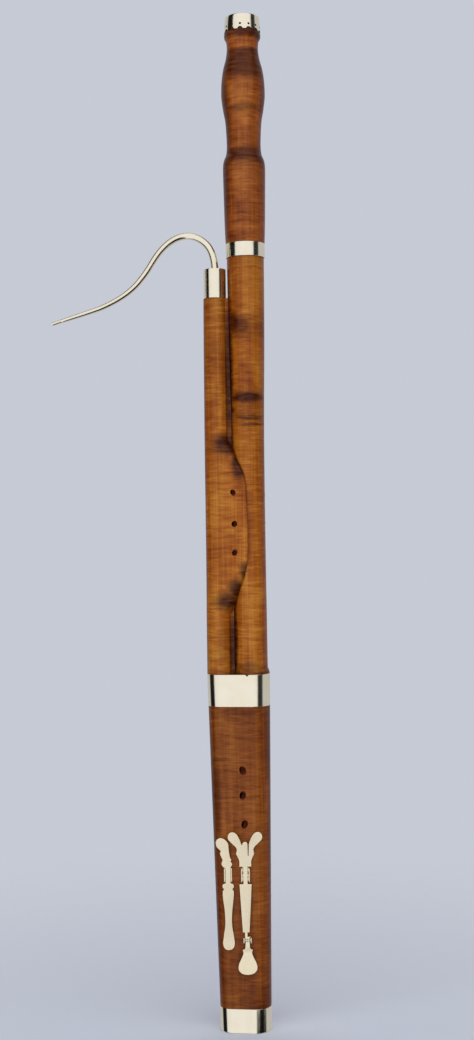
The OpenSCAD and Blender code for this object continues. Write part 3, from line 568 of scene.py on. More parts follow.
def finger_hole(start, end, r, across, along):
    """Tools for a finger hole: its leaning mouth, then the dark part, painted shade as well as end grain,
    that goes on to the bore.
    """
    mouth = Vector((across, 1, along)) * (1 if start[1] < 0 else -1)
    inner = Vector(start) + mouth * MOUTH_L
    at, _ = aim(start, inner)
    on, length = aim(inner, end)
    tall = Matrix.Diagonal((1, MOUTH_TALL, 1, 1))
    lean = Shape().lathe([(r + 0.35, -5), (r + 0.2, -0.8), (r, 0.3), (r, MOUTH_L)], 40, at @ tall)
    deep = Shape().lathe([(r + 0.1, -0.6), (r, length)], 40, on @ tall)
    return lean.made_of(mouth_wood), deep.made_of(shaded_bore_wood)


def on_boot(x, y, z):
    return Matrix.Translation((x, y, z)) @ Matrix.Rotation(math.pi / 2, 4, "X")


def on_long(face_r, z):
    return (Matrix.Translation((LONG_X, face_r, z)) @ Matrix.Rotation(math.pi, 4, "Z")
            @ Matrix.Rotation(math.pi / 2, 4, "X"))


GSHARP = on_boot(-19.8, -16.7, 194)
F_KEY = on_boot(1.3, -19.2, 194)
D_KEY = on_long(20, 574)
BFLAT = on_long(20.2, 702) @ Matrix.Rotation(math.pi, 4, "Z") @ Matrix.Rotation(math.radians(-0.66), 4, "X")
GSHARP_SADDLE, TOUCH_SADDLE, FLAP_SADDLE = (17.2, 3.5, 1.35), (17.2, 3.9, 1.4), (7.0, 3.7, 1.3)
SADDLE_SUNK, SADDLE_FLOOR, SADDLE_TOP, FLAP_LOW = 2.6, 1.0, 6.0, 1.7
FLAP_PAD_V, FLAP_PAD_R, FLAP_HOLE_R, FLAP_PAD_T = -31.0, 8.5, 4.5, 3.1
GSHARP_PAD_V, GSHARP_PAD_R = -84, 5.2


def seat_tools(matrix, v, pad_r, hole_r, seat):
    at = matrix @ Matrix.Translation((0, v, 0))
    hole = Shape().lathe([(hole_r, -13), (hole_r, seat - 0.4), (hole_r + 0.4, seat + 0.1)], 40, at)
    return [cylinder(at, pad_r + 0.8, seat, 8, 56), hole.made_of(shaded_bore_wood)]


def mortise(matrix, size):
    """Tool for the slot that a saddle is let into."""
    return Shape().loft(bar(size[1] + size[2] + 0.02, size[0] / 2 + 0.02, -SADDLE_SUNK, 9), matrix)


def open_key_tools(matrix, span, shift, seat):
    flap = matrix @ Matrix.Translation((shift, -span, 0))
    slots = [mortise(matrix, TOUCH_SADDLE), mortise(flap, FLAP_SADDLE)]
    return slots + seat_tools(flap, FLAP_PAD_V, FLAP_PAD_R, FLAP_HOLE_R, seat)


boot_rings = [oval(z, 1.0) for z in rows(CAP_FLOOR, CAP_H, 14)] + [oval(CAP_H, 0.25), oval(CAP_H + 0.3, 0)]
boot_rings += [oval(z, 0) for z in rows(CAP_H + 3, BOOT_H - BAND_H - 3, 6)]
boot_rings += [oval(BOOT_H - BAND_H - 0.3, 0), oval(BOOT_H - BAND_H, 0.25)]
boot_rings += [oval(z, WALL) for z in rows(BOOT_H - BAND_H, BOOT_H, 13)]
boot = Shape().loft(boot_rings).made_of(boot_wood).object("boot_wood")
# the narrow bore leans towards the wide one, and a slot in the foot joins the two
SOCKET_FLOOR, LEAN, SLOT_R = BOOT_H - TENON_L, 13, 8.4
small_foot = Vector((WING_X + LEAN * (388 - 20) / 374, 0, 20))
small_way, small_len = aim((WING_X, 0, SOCKET_FLOOR - 1), small_foot)
slot_ring = arc(WING_X + LEAN, SLOT_R, math.pi / 2, math.pi, 24) + arc(LONG_X, SLOT_R, -math.pi / 2, math.pi,
                                                                       24)
STRAP = Matrix.Translation((-4, 20.5, 384))
boot_tools = [
    Shape().lathe([(9.4, 14), (11.8, SOCKET_FLOOR), (11.8, SOCKET_FLOOR + 0.01)], 64, x=LONG_X),
    cylinder(Matrix.Translation((LONG_X, 0, 0)), LONG_TENON_R + TENON_GAP, SOCKET_FLOOR, BOOT_H + 2, 96),
    cylinder(Matrix.Translation((WING_X, 0, 0)), WING_TENON_R + TENON_GAP, SOCKET_FLOOR, BOOT_H + 2, 96),
    cylinder(small_way, 7.8, 0, small_len, 48),
    Shape().loft([at_height(slot_ring, z) for z in (0, 32)]),
    *finger_hole((-0.6, -19, 320.6), (-20, -3, 331), 3.7, -0.4, 0.5),
    *finger_hole((-0.9, -19, 289.6), (-19, -3, 289), 3.6, -0.3, -0.4),
    *finger_hole((1, -19, 254.5), (-18, -3, 247.5), 3.6, -0.3, -0.5),
    *finger_hole((-4, 18.8, 345), (-20, 3, 351), 4.0, 0.3, 0.1),
    mortise(GSHARP, GSHARP_SADDLE)]
boot_tools += seat_tools(GSHARP, GSHARP_PAD_V, GSHARP_PAD_R, 3.3, -1.5) + open_key_tools(F_KEY, 79, 1.5,
                                                                                         -1.5)
boot_tools.append(cylinder(STRAP @ Matrix.Rotation(-math.pi / 2, 4, "X"), 5.02, -1, 6))
finish(cut(boot, *boot_tools), boot_wood, "boot_joint", weighted=False)

# the band, with its outer edges softened, and a nick in the upper edge
band_path = soften([(-0.15, BOOT_H - BAND_H), (-0.15, BOOT_H), (WALL, BOOT_H), (WALL, BOOT_H - BAND_H)],
                   0.35)
band = Shape().loft([oval(z, i, 48) for i, z in band_path], wrap=True).object("boot_band")
nick = Matrix.Translation((6.6, -24, BOOT_H)) @ Matrix.Rotation(math.pi / 4, 4, "Y")
finish(cut(band, Shape().loft(bar(1.7, 8, -1.7, 1.7), nick)), mount_brass, "boot_top_band")
cap_path = [(0.9, 0), (0.35, 0.1), (0.08, 0.45), (0, 0.9), (0, 10), (0, 20), (0, CAP_H - 0.35),
            (0.12, CAP_H - 0.08),
            (0.4, CAP_H), (WALL, CAP_H), (WALL, 10), (WALL, CAP_FLOOR)]
cap = Shape().loft([oval(z, i, 48) for i, z in cap_path]).object("boot_cap")
finish(cap, mount_brass, "boot_bottom_cap")


# ---------------------------------------------------------------- long joint and bell
def bored(outer, bore):
    """A closed turned outline: up the outside, then down the bore."""
    return outer + bore[::-1]


long_outline = [
    (22.7, BOOT_H), (22.5, BOOT_H + 2), (21.3, BOOT_H + 5.5), (20.5, BOOT_H + 10), (20.3, 500), (20, 560),
    (19.8, 640),
    (20, 720), (20.8, 780), (21.9, 840), (22.5, 900), (22.7, BELL_Z)]
low_tenon, top_tenon = LONG_TENON_R - LAP, BELL_TENON_R - LAP
bell_tenon_top = BELL_Z + BELL_TENON_L
long_profile = [(low_tenon - 0.5, SOCKET_FLOOR), (low_tenon, SOCKET_FLOOR + 0.5), (low_tenon, BOOT_H),
                (22.3, BOOT_H)]
long_profile += smooth([(22.7, BOOT_H + 0.4)] + long_outline[1:-1] + [(22.7, BELL_Z - 0.3)], 8)
long_profile += [(22.4, BELL_Z), (top_tenon, BELL_Z), (top_tenon, bell_tenon_top - 0.5),
                 (top_tenon - 0.5, bell_tenon_top)]
long_profile = bored(long_profile, [(12, SOCKET_FLOOR), (13.5, 680), (BELL_BORE, bell_tenon_top)])
long_joint = Shape().lathe(long_profile, 128, wrap=True, x=LONG_X).made_of(long_wood).object("long_wood")
lip_a = math.acos((LIP_END_X - LONG_X) / LIP_CUT_R)
lip_side = arc(LONG_X, LIP_CUT_R, lip_a, 2 * math.pi - 2 * lip_a, 40)
lip_side += [(LIP_END_X, -30), (-45, -30), (-45, 30), (LIP_END_X, 30)]
thumb_hole = Matrix.Translation((LONG_X, 6, 637)) @ Matrix.Rotation(-math.pi / 2, 4, "X")
long_tools = [Shape().loft([at_height(lip_side, z) for z in (BOOT_H - 0.01, BOOT_H + LIP_H)]),
              cylinder(thumb_hole, 4.2, 0, 20).made_of(shaded_bore_wood)]
long_tools += open_key_tools(D_KEY, 58, 0, -1.7) + open_key_tools(BFLAT, 118, 0, -1.7)
finish(cut(long_joint, *long_tools), long_wood, "long_joint", weighted=False)

bell_outline = [
    (24.7, 982), (25.3, 1012), (25.9, 1045), (25.8, 1058), (24.6, 1065), (22, 1071.5), (20.9, 1080),
    (21, 1092),
    (22.2, 1112), (24.6, 1126), (26.5, 1140), (26.8, 1149), (26.2, 1162), (24.2, 1176), (20.8, 1189),
    (19.3, 1199),
    (19.3, 1206), (20, 1211), (21.8, 1214.5), (22.3, 1217.5), (22, 1220), (21, CROWN_Z)]
bell_profile = [(RING_R - WALL, BELL_Z), (RING_R - WALL, BELL_Z + RING_H), (23.6, BELL_Z + RING_H)]
bell_profile += smooth([(23.9, BELL_Z + RING_H + 0.4)] + bell_outline, 9)
bell_profile += [(20.9, 1224), (20.4, 1232), (19.9, 1237), (19.6, BELL_TOP)]
socket_r, socket_top = BELL_TENON_R + TENON_GAP, bell_tenon_top + 1
bell_profile = bored(bell_profile, [(socket_r, BELL_Z), (socket_r, socket_top), (BELL_BORE, socket_top),
                                    (BELL_BORE, BELL_TOP)])
finish(Shape().lathe(bell_profile, 144, wrap=True, x=LONG_X).object("bell_wood"), bell_wood,
       "bell_joint",
       weighted=False)

ring_path = soften(rect(RING_R - WALL, BELL_Z, RING_R, BELL_Z + RING_H), 0.35)
finish(Shape().lathe(ring_path, 144, wrap=True, x=LONG_X).object("bell_ring"), mount_brass,
       "bell_socket_ring")

# crown: a slightly flaring band with a scalloped lower edge, and a piercing over each arch
crown_curve = smooth([(22.2, 1221.1), (21.9, 1227), (21.6, 1232), (21.2, 1237), (20.85, 1239.2)], 6)
crown_path = crown_curve + [
    (20.7, 1239.7), (20.4, 1240), (15.5, 1240), (15.3, 1239.8), (15.3, 1239.2), (15.5, 1239.1),
    (20.1, 1239.1)]
crown_path += [(r - 0.7, z) for r, z in crown_curve[::-1] if z < 1238.5]
crown = Shape().lathe(crown_path, 156, wrap=True, x=LONG_X).object("bell_crown_skirt")
ARCHES = 13
arches = []
for i in range(ARCHES):
    turn = Matrix.Translation((LONG_X, 0, 0)) @ Matrix.Rotation(-(i + 0.5) * 2 * math.pi / ARCHES, 4, "Z")
    side = Matrix.Rotation(math.pi / 2, 4, "Y")
    for z, r in ((1220.2, 3.4), (1227, 1.4)):
        arches.append(cylinder(turn @ Matrix.Translation((0, 0, z)) @ side, r, 18.6, 26, 36))
finish(cut(crown, *arches), mount_brass, "bell_crown")


# ---------------------------------------------------------------- wing joint
FERRULE_Z, CORE_R = WING_TOP - FERRULE_H, FERRULE_R - WALL
wing_outline = [(BOOT_H, 15.9), (500, 15.8), (620, 15.5), (740, 15.2), (830, 14.8), (880, 14.4),
                (FERRULE_Z, 14.2)]
EAR = smooth([
    (-18, 500), (-12.5, 508), (-7.4, 516), (-2.4, 534), (3.6, 551), (8, 566), (10, 584), (10.2, 609),
    (9.6, 646),
    (8.5, 670), (5, 684), (-1, 697), (-7, 713), (-12.5, 727), (-18, 737)], 6)
EAR_SIDES = 120


def hull_section(r1, r2, tip, sides=EAR_SIDES):
    """Support points of two circles' hull for evenly spaced directions."""
    out = []
    for k in range(sides):
        a = 2 * math.pi * k / sides
        way = (math.cos(a), math.sin(a))
        far1 = WING_X * way[0] + r1
        far2 = tip[0] * way[0] + tip[1] * way[1] + r2
        c, r = ((WING_X, 0), r1) if far1 >= far2 else (tip, r2)
        out.append((c[0] + r * way[0], c[1] + r * way[1]))
    return out


def ear_section(share, r):
    """The wing's section, with its share of the full ear."""
    tip_r, tip_x = 2.2, 8.0
    tip = (tip_x, -math.sqrt((GROOVE_R + tip_r) ** 2 - (LONG_X - tip_x) ** 2))
    full = hull_section(15.3, tip_r, tip)
    ring = hull_section(r, 1, (WING_X, 0))
    return [(a[0] + (b[0] - a[0]) * share, a[1] + (b[1] - a[1]) * share) for a, b in zip(ring, full)]


def ear_reach(section):
    """Right-hand end of what the groove leaves of a section's front."""
    best = -99.0
    for (x0, y0), (x1, y1) in zip(section, section[1:] + section[:1]):
        for t in (0, 0.2, 0.4, 0.6, 0.8):
            x, y = x0 + (x1 - x0) * t, y0 + (y1 - y0) * t
            if y < 0 and math.hypot(x - LONG_X, y) >= GROOVE_R:
                best = max(best, x)
    return best


def ear_share(z):
    """The share that brings the ear's edge to where the curve EAR has it at height z."""
    if not EAR[0][1] < z < EAR[-1][1]:
        return 0.0
    goal = lerp_table([(b, a) for a, b in EAR], z)
    low, high = 0.0, 1.0
    for _ in range(14):
        mid = (low + high) / 2
        low, high = (mid, high) if ear_reach(ear_section(mid, 15.4)) < goal else (low, mid)
    return low


wing_rings = [at_height(circle(WING_X, r, EAR_SIDES), z)
              for r, z in ((10.8, SOCKET_FLOOR), (11.3, SOCKET_FLOOR + 0.5), (11.3, BOOT_H), (15.5, BOOT_H))]
heights = [BOOT_H + 0.4] + rows(442, 490, 6) + rows(493, 744, 1.5) + rows(750, 893, 5) + [895.6]
shares = [ear_share(z) for z in heights]
for _ in range(3):
    shares = [sum(shares[max(0, i - 1):i + 2]) / len(shares[max(0, i - 1):i + 2])
              for i in range(len(shares))]
for z, share in zip(heights, shares):
    wing_rings.append(at_height(ear_section(share, lerp_table(wing_outline, z)), z))
for r, z in ((13.8, FERRULE_Z), (CORE_R, FERRULE_Z), (CORE_R, WING_TOP - 1)):
    wing_rings.append(at_height(ear_section(0, r), z))
wing = Shape().loft(wing_rings).made_of(wing_wood).object("wing_wood")
rib = [at_height(rect(-8, 7.5, WING_X, -7.5), z) for z in (BOOT_H + 0.2, FERRULE_Z)]
cut(wing, Shape().loft(rib).made_of(wing_wood), how="UNION")
# the groove's faces take the dark bore wood: painted shade between the wing and the long joint
groove = [(GROOVE_R, BOOT_H - 1), (GROOVE_R, 716), (21.25, 745), (22.3, 800), (23, 860), (23.2, BELL_Z)]
wing_tools = [
    Shape().lathe(groove, 256, x=LONG_X).made_of(shaded_bore_wood),
    Shape().lathe([(7.3, 389), (7.3, 390.5), (4, SOCKET_Z + 0.1)], 48, x=WING_X),
    cylinder(Matrix.Translation((WING_X, 0, 0)), SOCKET_R, SOCKET_Z, WING_TOP + 1, 48),
    *finger_hole((-7.6, -20.4, 658.2), (-25, -1, 667), 2.7, -0.35, 0.45),
    *finger_hole((-6.3, -20.8, 619.7), (-25, -1, 619), 2.9, -0.35, -0.1),
    *finger_hole((-6.5, -20.7, 584.6), (-25, -1, 576.5), 2.7, -0.35, -0.35)]
finish(cut(wing, *wing_tools), wing_wood, "wing_joint", weighted=False)

ferrule_path = [
    (CORE_R, FERRULE_Z), (FERRULE_R - 0.3, FERRULE_Z), (FERRULE_R, FERRULE_Z + 0.3), (FERRULE_R, 914),
    (FERRULE_R, WING_TOP - 0.7), (FERRULE_R - 0.2, WING_TOP - 0.2), (FERRULE_R - 0.7, WING_TOP),
    (6.3, WING_TOP),
    (5.9, WING_TOP - 0.3), (5.9, WING_TOP - 1), (CORE_R, WING_TOP - 1)]
sleeve = Shape().lathe(ferrule_path, 112, wrap=True, x=WING_X).object("wing_ferrule_sleeve")
finish(sleeve, mount_brass, "wing_ferrule")


# ---------------------------------------------------------------- lappings and bocal
def lapping(node, x, r_in, r_out, z0, z1, pitch=0.62, segs=72):
    """Wound thread: a helical ridge on a thin sleeve."""
    steps = 6
    count = int((z1 - z0) / pitch) * steps
    rings = []
    for i in range(count + 1):
        z = z0 + (z1 - z0) * i / count
        ring = []
        for k in range(segs):
            a = 2 * math.pi * k / segs
            phase = (i / steps + k / segs) % 1.0
            r = r_out - 0.16 * (1 - math.sin(math.pi * phase)) ** 1.5 - (0.3 if i in (0, count) else 0)
            ring.append((x + r * math.cos(a), r * math.sin(a), z))
        rings.append(ring)
    rings += [at_height(circle(x, r_in + 0.02, segs), z) for z in (z1, z0)]
    winding = Shape().loft(rings, wrap=True).object(node + "_winding")
    finish(winding, thread, node, math.radians(70), False)


lapping("long_lower_lapping", LONG_X, low_tenon, LONG_TENON_R, SOCKET_FLOOR + 5, BOOT_H - 5)
lapping("long_upper_lapping", LONG_X, top_tenon, BELL_TENON_R, BELL_Z + 5, bell_tenon_top - 5)
lapping("wing_lapping", WING_X, WING_TENON_R - LAP, WING_TENON_R, SOCKET_FLOOR + 5, BOOT_H - 5, segs=60)
lapping("bocal_lapping", WING_X, BOCAL_R - 0.02, SOCKET_R - TENON_GAP, 905, 920, 0.5, 40)

bocal_route = [
    (WING_X, 903), (WING_X, 921), (-25.7, 934), (-27.3, 946), (-30.7, 956.1), (-36.2, 963.9), (-44.7, 970.2),
    (-55.9, 973.7),
    (-68.5, 972.4), (-80.5, 966.4), (-90.9, 957.2), (-99.2, 946.6), (-107.1, 934.3), (-114.8, 923.7),
    (-124.2, 912.9),
    (-135.1, 903.7), (-147.8, 895.7), (-163.9, 887.9), (-181.3, 881.9), (-199.4, 876.3), (-214.9, 871.5)]
line = [Vector((px, 0, pz)) for px, pz in smooth(bocal_route, 9)]
radii = [TIP_R + (BOCAL_R - TIP_R) * math.sqrt(1 - i / (len(line) - 1)) for i in range(len(line))]
way = (line[-1] - line[-2]).normalized()
end = line[-1]
# straight reed seat, with a softened end
SEAT_R, TUBE_WALL = 2.26, 0.7
line += [end + way * d for d in (0.15, 0.4, 4, 8, 11.6, 12)]
radii += [SEAT_R] * 5 + [2.1]
inner = tube_rings(line, [r - TUBE_WALL for r in radii[:-1]] + [1.6], 32)
tube = Shape().loft(tube_rings(line, radii, 32) + inner[::-1], wrap=True)
finish(tube.object("bocal_tube"), tube_brass, "bocal")

# ---------------------------------------------------------------- strap ring
STRAP_RING_R, STRAP_WIRE_R, EYE_OUT = 9.5, 1.4, 7.5
post_path = [(2, -4.4), (2, -1), (5, -1), (5, 0.7), (4.6, 1.2), (3.9, 1.4), (2.6, 1.6), (2.1, 2.2), (2, 4.2)]
post = Shape().lathe(post_path, 48, STRAP @ Matrix.Rotation(-math.pi / 2, 4, "X"))
eye_at = STRAP @ Matrix.Translation((0, EYE_OUT, 0)) @ Matrix.Rotation(math.pi / 2, 4, "Y")
post.lathe(soften(rect(2.4, -1.3, 4.4, 1.3), 0.8, steps=5), 56, eye_at, wrap=True)
finish(post.object("strap_eye"), mount_brass, "strap_post")
ring_at = STRAP @ Matrix.Translation((0, EYE_OUT, -STRAP_RING_R)) @ Matrix.Rotation(math.pi / 2, 4, "X")
wire = Shape().lathe(circle(STRAP_RING_R, STRAP_WIRE_R, 24), 96, ring_at, wrap=True)
finish(wire.object("strap_ring_wire"), mount_brass, "strap_ring")

# ---------------------------------------------------------------- keys
SIDE = Matrix(((0, 0, 1, 0), (1, 0, 0, 0), (0, 1, 0, 0), (0, 0, 0, 1)))   # plate's u, v, w to v, w, u
ON_AXLE = Matrix.Translation((0, 0, AXLE_H)) @ Matrix.Rotation(math.pi / 2, 4, "Y")
SHANK_V, PLATE_EDGE = 8.7, 0.26


def round_bar(matrix, r, half, chamfer=0.3):
    """A pin or barrel along u at the axle's height."""
    return [(r - chamfer, -half), (r, -half + chamfer), (r, half - chamfer),
            (r - chamfer, half)], 32, matrix @ ON_AXLE


def saddle(node, matrix, size):
    length, inside, cheek = size
    side = soften(rect(-length / 2, -SADDLE_SUNK, length / 2, SADDLE_TOP), 1.3, steps=5)
    shape = Shape()
    for s in (-1, 1):
        at = matrix @ Matrix.Translation((s * (inside + cheek / 2) - cheek / 2, 0, 0)) @ SIDE
        shape.add(*plate(side, cheek, 0.22, at))
    base = rect(-inside - 0.3, -length / 2 + 0.4, inside + 0.3, length / 2 - 0.4)
    shape.add(*plate(base, SADDLE_FLOOR, 0.1, matrix @ Matrix.Translation((0, 0, -SADDLE_SUNK))))
    finish(shape.object(node + "_block"), key_brass, node)


def axle(node, matrix, size):
    half = size[1] + size[2]
    pin = Shape().lathe(*round_bar(matrix, AXLE_R, half, 0.15)).object(node + "_pin")
    screw_slot = Shape().loft(bar(0.4, 0.16, -2, 2), matrix @ Matrix.Translation((half, 0, AXLE_H)))
    finish(cut(pin, screw_slot), steel, node)


def pad(node, matrix, r, z0, z1):
    profile = [
        (r - 0.7, z0 + 0.06), (r - 0.2, z0), (r, z0 + 0.5), (r, (z0 + z1) / 2), (r - 0.1, z1 - 0.25),
        (r - 0.5, z1)]
    disc = Shape().lathe(profile, 56, matrix).object(node + "_disc")
    finish(disc, leather, node, math.radians(60), False)


LEAF = 0.26
SPRING_ROWS = [(10.5, 3.92), (17, 3.82), (24, 2.72), (31, 1.12), (36, 0.58)]


def spring(node, matrix):
    """A leaf spring that bends from its rivet on the lever to its end on the wood."""
    rings = []
    for v, w in smooth(SPRING_ROWS, 8):
        half = 1.3 - 0.35 * max(0.0, (v - 14) / 22)
        rings.append([(u, v, rim) for u, rim in rect(-half, w - LEAF / 2, half, w + LEAF / 2)])
    obj = Shape().loft(rings, matrix).object(node + "_leaf")
    obj["blend"] = True
    finish(obj, steel, node)
    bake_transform(obj)


# G sharp key
gsharp_band = [(-94, 1.6), (-78, 1.6), (-62, 2.3), (-30, 3.7), (-10, 4.2), (12, 4.2), (30, 4.7), (50, 5.5)]
gsharp_lower = [
    (-SHANK_V, 3.1), (-9.8, 3.3), (-10.8, 5.9), (-12.9, 7), (-15.2, 6.5), (-17, 5.1), (-18.6, 6.4),
    (-22.1, 6.9),
    (-30.7, 6.2), (-41.8, 4.8), (-54, 4.1), (-62.7, 4.4), (-71.3, 5.7), (-79.9, 6.9), (-83.6, 7.2),
    (-88, 6.1),
    (-90.8, 3.5), (-91.6, 0)]
touch_right = [
    (3.3, SHANK_V), (3.4, 9.6), (5.3, 13.4), (3.5, 16.6), (4.4, 18.8), (3, 21), (1.6, 28.4), (0.7, 37.6),
    (-1.2, 41.3),
    (-4.6, 44.3), (-9, 45.6)]
touch_left = [
    (-9, 45.6), (-12.9, 43.6), (-14.4, 39.8), (-13.4, 35), (-10.4, 31.5), (-8.6, 29.6), (-9.4, 26.2),
    (-8, 22.4),
    (-6.4, 18.6), (-7.8, 14.2), (-6, 10.4), (-3.1, SHANK_V)]
lower = smooth(gsharp_lower, 5)
gsharp_outline = smooth(touch_right, 5)[:-1] + smooth(touch_left, 5)
gsharp_outline += [(-r, v) for v, r in lower] + [(r, v) for v, r in lower[::-1][1:]]
gsharp = Shape().add(*plate(gsharp_outline, PLATE_T, PLATE_EDGE, GSHARP, gsharp_band))
gsharp.lathe(*round_bar(GSHARP, BARREL_R, 3.3))
finish(gsharp.object("gsharp_lever_plate"), key_brass, "gsharp_key")
pad("gsharp_pad", GSHARP @ Matrix.Translation((0.4, GSHARP_PAD_V, 0)), GSHARP_PAD_R, -1.45, 1.6)
saddle("gsharp_saddle", GSHARP, GSHARP_SADDLE)
axle("gsharp_axle", GSHARP, GSHARP_SADDLE)
spring("gsharp_spring", GSHARP)

# open keys: swallow-tail touch, flap, keeper and tail
swallow = [
    (2.6, SHANK_V), (2.6, 10.6), (7.4, 10.8), (7.2, 14), (7.6, 18.5), (9, 22.3), (10.9, 26), (10.6, 28.6),
    (10.2, 32),
    (12.2, 35.6), (15.4, 38.6), (17.6, 41), (20.2, 43.8), (20.9, 47.8), (19.2, 51.4), (15.6, 53),
    (11.6, 51.6),
    (8.2, 47.4), (5.8, 42)]
crown_left = [(4.3, 37.6), (3.6, 36.6), (3.1, 39.2), (1.8, 40.9), (0, 41)]
crown_right = [(4.5, 38), (3.95, 24), (3.35, 23.6), (3.1, 38), (2.6, 39.8), (1.6, 40.9)]
flap_half = [
    (4.4, 2.6), (-5, 2.6), (-9.6, 3), (-11.4, 6.4), (-13.2, 5.6), (-15, 5.3), (-17.5, 6), (-22, 8),
    (-27, 10.4), (-31.5, 11.4),
    (-35, 11), (-38, 8.8), (-40, 5.2), (-40.8, 0)]


def curved(points, n=4):
    """The straight shank stays straight; the rest of the half outline is smoothed."""
    return list(points[:3]) + smooth(points[3:], n)


def touch_lever(node, matrix, span, arm):
    reach = span - 10
    shank = [(4.1, -reach), (7.5, -10.5), (2.6, -10.4)] + curved(swallow)
    right, left = shank + crown_right, shank + crown_left
    outline = soften(right + [(-u, v) for u, v in left[::-1]], 0.5, steps=2, corner=50)
    band = [(-reach - 5, 3.6), (-reach + 5, 3.6), (-12, 4.2), (12, 4.2), (30, 4.9), (60, 6.2)]
    shape = Shape().add(*plate(outline, PLATE_T, PLATE_EDGE, matrix, band))
    shape.lathe(*round_bar(matrix, BARREL_R, 3.7))
    at = matrix @ Matrix.Translation((0, arm - span, 0))
    lug = soften(rect(-1.1, 0.72, 1.1, 3.95), 0.3, steps=2)
    for s in (-1, 1):
        shape.add(*plate(lug, 1.0, 0.15, at @ Matrix.Translation((s * 2.6 - 0.5, 0, 0)) @ SIDE))
    shape.add(*plate(rect(-3.1, -1.1, 3.1, 1.1), 0.9, 0.15, at @ Matrix.Translation((0, 0, 0.7))))
    finish(shape.object(node + "_lever"), key_brass, node)


def flap_lever(node, at, shift, arm):
    half = [(r, v) for v, r in list(flap_half[:3]) + smooth(flap_half[3:], 4)]
    outline = soften(half + [(-u, v) for u, v in half[::-1][1:]], 0.4, steps=2, corner=50)
    shape = Shape().add(*plate(outline, PLATE_T, PLATE_EDGE, at, [(-42, FLAP_LOW), (-14, FLAP_LOW),
                                                                  (-7, 2.9), (6, 2.9)]))
    tail = [(1.5, 1), (1.5, arm + 1.5), (-1.5, arm + 1.5), (-1.5, 1)]
    low = [(v, 2 + v * math.sin(OPEN)) for v in (8, arm + 3)]
    shape.add(*plate(tail, 1.1, 0.15, at @ Matrix.Translation((-shift, 0, 0)), [(0, 2.9)] + low))
    wide = 1.5 + abs(shift)
    shape.add(*plate(rect(-wide, 2.4, wide, 4.4), 1.0, 0.15, at @ Matrix.Translation((0, 0, 2.9))))
    shape.lathe(*round_bar(at, BARREL_R, 3.5))
    # beads turned on the hub, standing just above the plate
    for u in (-2.2, 0, 2.2):
        bead = [(1.2 + 1.15 * math.sin(math.pi * k / 8), u - 0.75 * math.cos(math.pi * k / 8))
                for k in range(9)]
        shape.lathe(bead, 32, at @ ON_AXLE)
    finish(shape.object(node + "_lever"), key_brass, node)


AS_OPENED = (Matrix.Translation((0, 0, AXLE_H)) @ Matrix.Rotation(-OPEN, 4, "X")
             @ Matrix.Translation((0, 0, -AXLE_H)))


def open_key(name, matrix, span, shift, arm):
    flap = matrix @ Matrix.Translation((shift, -span, 0))
    touch_lever(f"{name}_touch", matrix, span, arm)
    saddle(f"{name}_touch_saddle", matrix, TOUCH_SADDLE)
    axle(f"{name}_touch_axle", matrix, TOUCH_SADDLE)
    spring(f"{name}_spring", matrix)
    flap_lever(f"{name}_flap", flap @ AS_OPENED, shift, arm)
    saddle(f"{name}_flap_saddle", flap, FLAP_SADDLE)
    axle(f"{name}_flap_axle", flap, FLAP_SADDLE)
    pad_at = flap @ AS_OPENED @ Matrix.Translation((0, FLAP_PAD_V, 0))
    pad(f"{name}_pad", pad_at, FLAP_PAD_R, FLAP_LOW - FLAP_PAD_T, FLAP_LOW)


open_key("f", F_KEY, 79, 1.5, 22)
open_key("d", D_KEY, 58, 0, 21)
open_key("bflat", BFLAT, 118, 0, 39)

# CAD nodes that stay, with their materials
STAYING = {"boot_cork_plug": cork, "boot_saddle_screws": steel, "long_saddle_screws": steel}
STAYING.update({f"{key}_rivet": key_brass for key in ("gsharp", "f", "d", "bflat")})
for node, material in STAYING.items():
    mesh = frame["nodes"][node].data
    for i in range(max(1, len(mesh.materials))):
        if mesh.materials:
            mesh.materials[i] = material
        else:
            mesh.materials.append(material)

# ---------------------------------------------------------------- floor, light and camera
# a round sheet of paper that fades out into the backdrop
FLOOR_Z, SPOKES, FLOOR_RADII = -0.2, 96, (60, 120, 240, 480, 900, 1600, 2600, 4200)
points = [(0.0, 0.0, FLOOR_Z)] + [p for r in FLOOR_RADII for p in at_height(circle(0.0, r, SPOKES), FLOOR_Z)]
faces = [(0, 1 + k, 1 + (k + 1) % SPOKES) for k in range(SPOKES)]
faces += [tuple(1 + v for v in face) for face in grid_faces(len(FLOOR_RADII), SPOKES)]
floor = Shape().add(points, faces).object("studio_floor")
f = Nodes("floor_paper")
length = f.make("ShaderNodeVectorMath", operation="LENGTH")
f.put(length.inputs[0], f.coords)
fade = f.ramp(f.math("MULTIPLY", length.outputs["Value"], 1 / 1.4), [(0.1, 0.0), (0.75, 1.0)], True)
paper = f.noise((900, 900, 900), 3.0, 0.6)
f.set(Base_Color=f.ramp(paper, [(0.3, (0.82, 0.87, 0.98)), (0.7, (0.84, 0.89, 0.99))]), Roughness=0.9,
      Specular_IOR_Level=0.1)
clear = f.make("ShaderNodeBsdfTransparent")
blend = f.make("ShaderNodeMixShader")
f.put(blend.inputs[0], fade)
f.put(blend.inputs[1], f.shader.outputs[0])
f.put(blend.inputs[2], clear.outputs[0])
f.put(f.tree.nodes["Material Output"].inputs["Surface"], blend.outputs[0])
floor.data.materials.append(f.material)
floor.visible_glossy = False

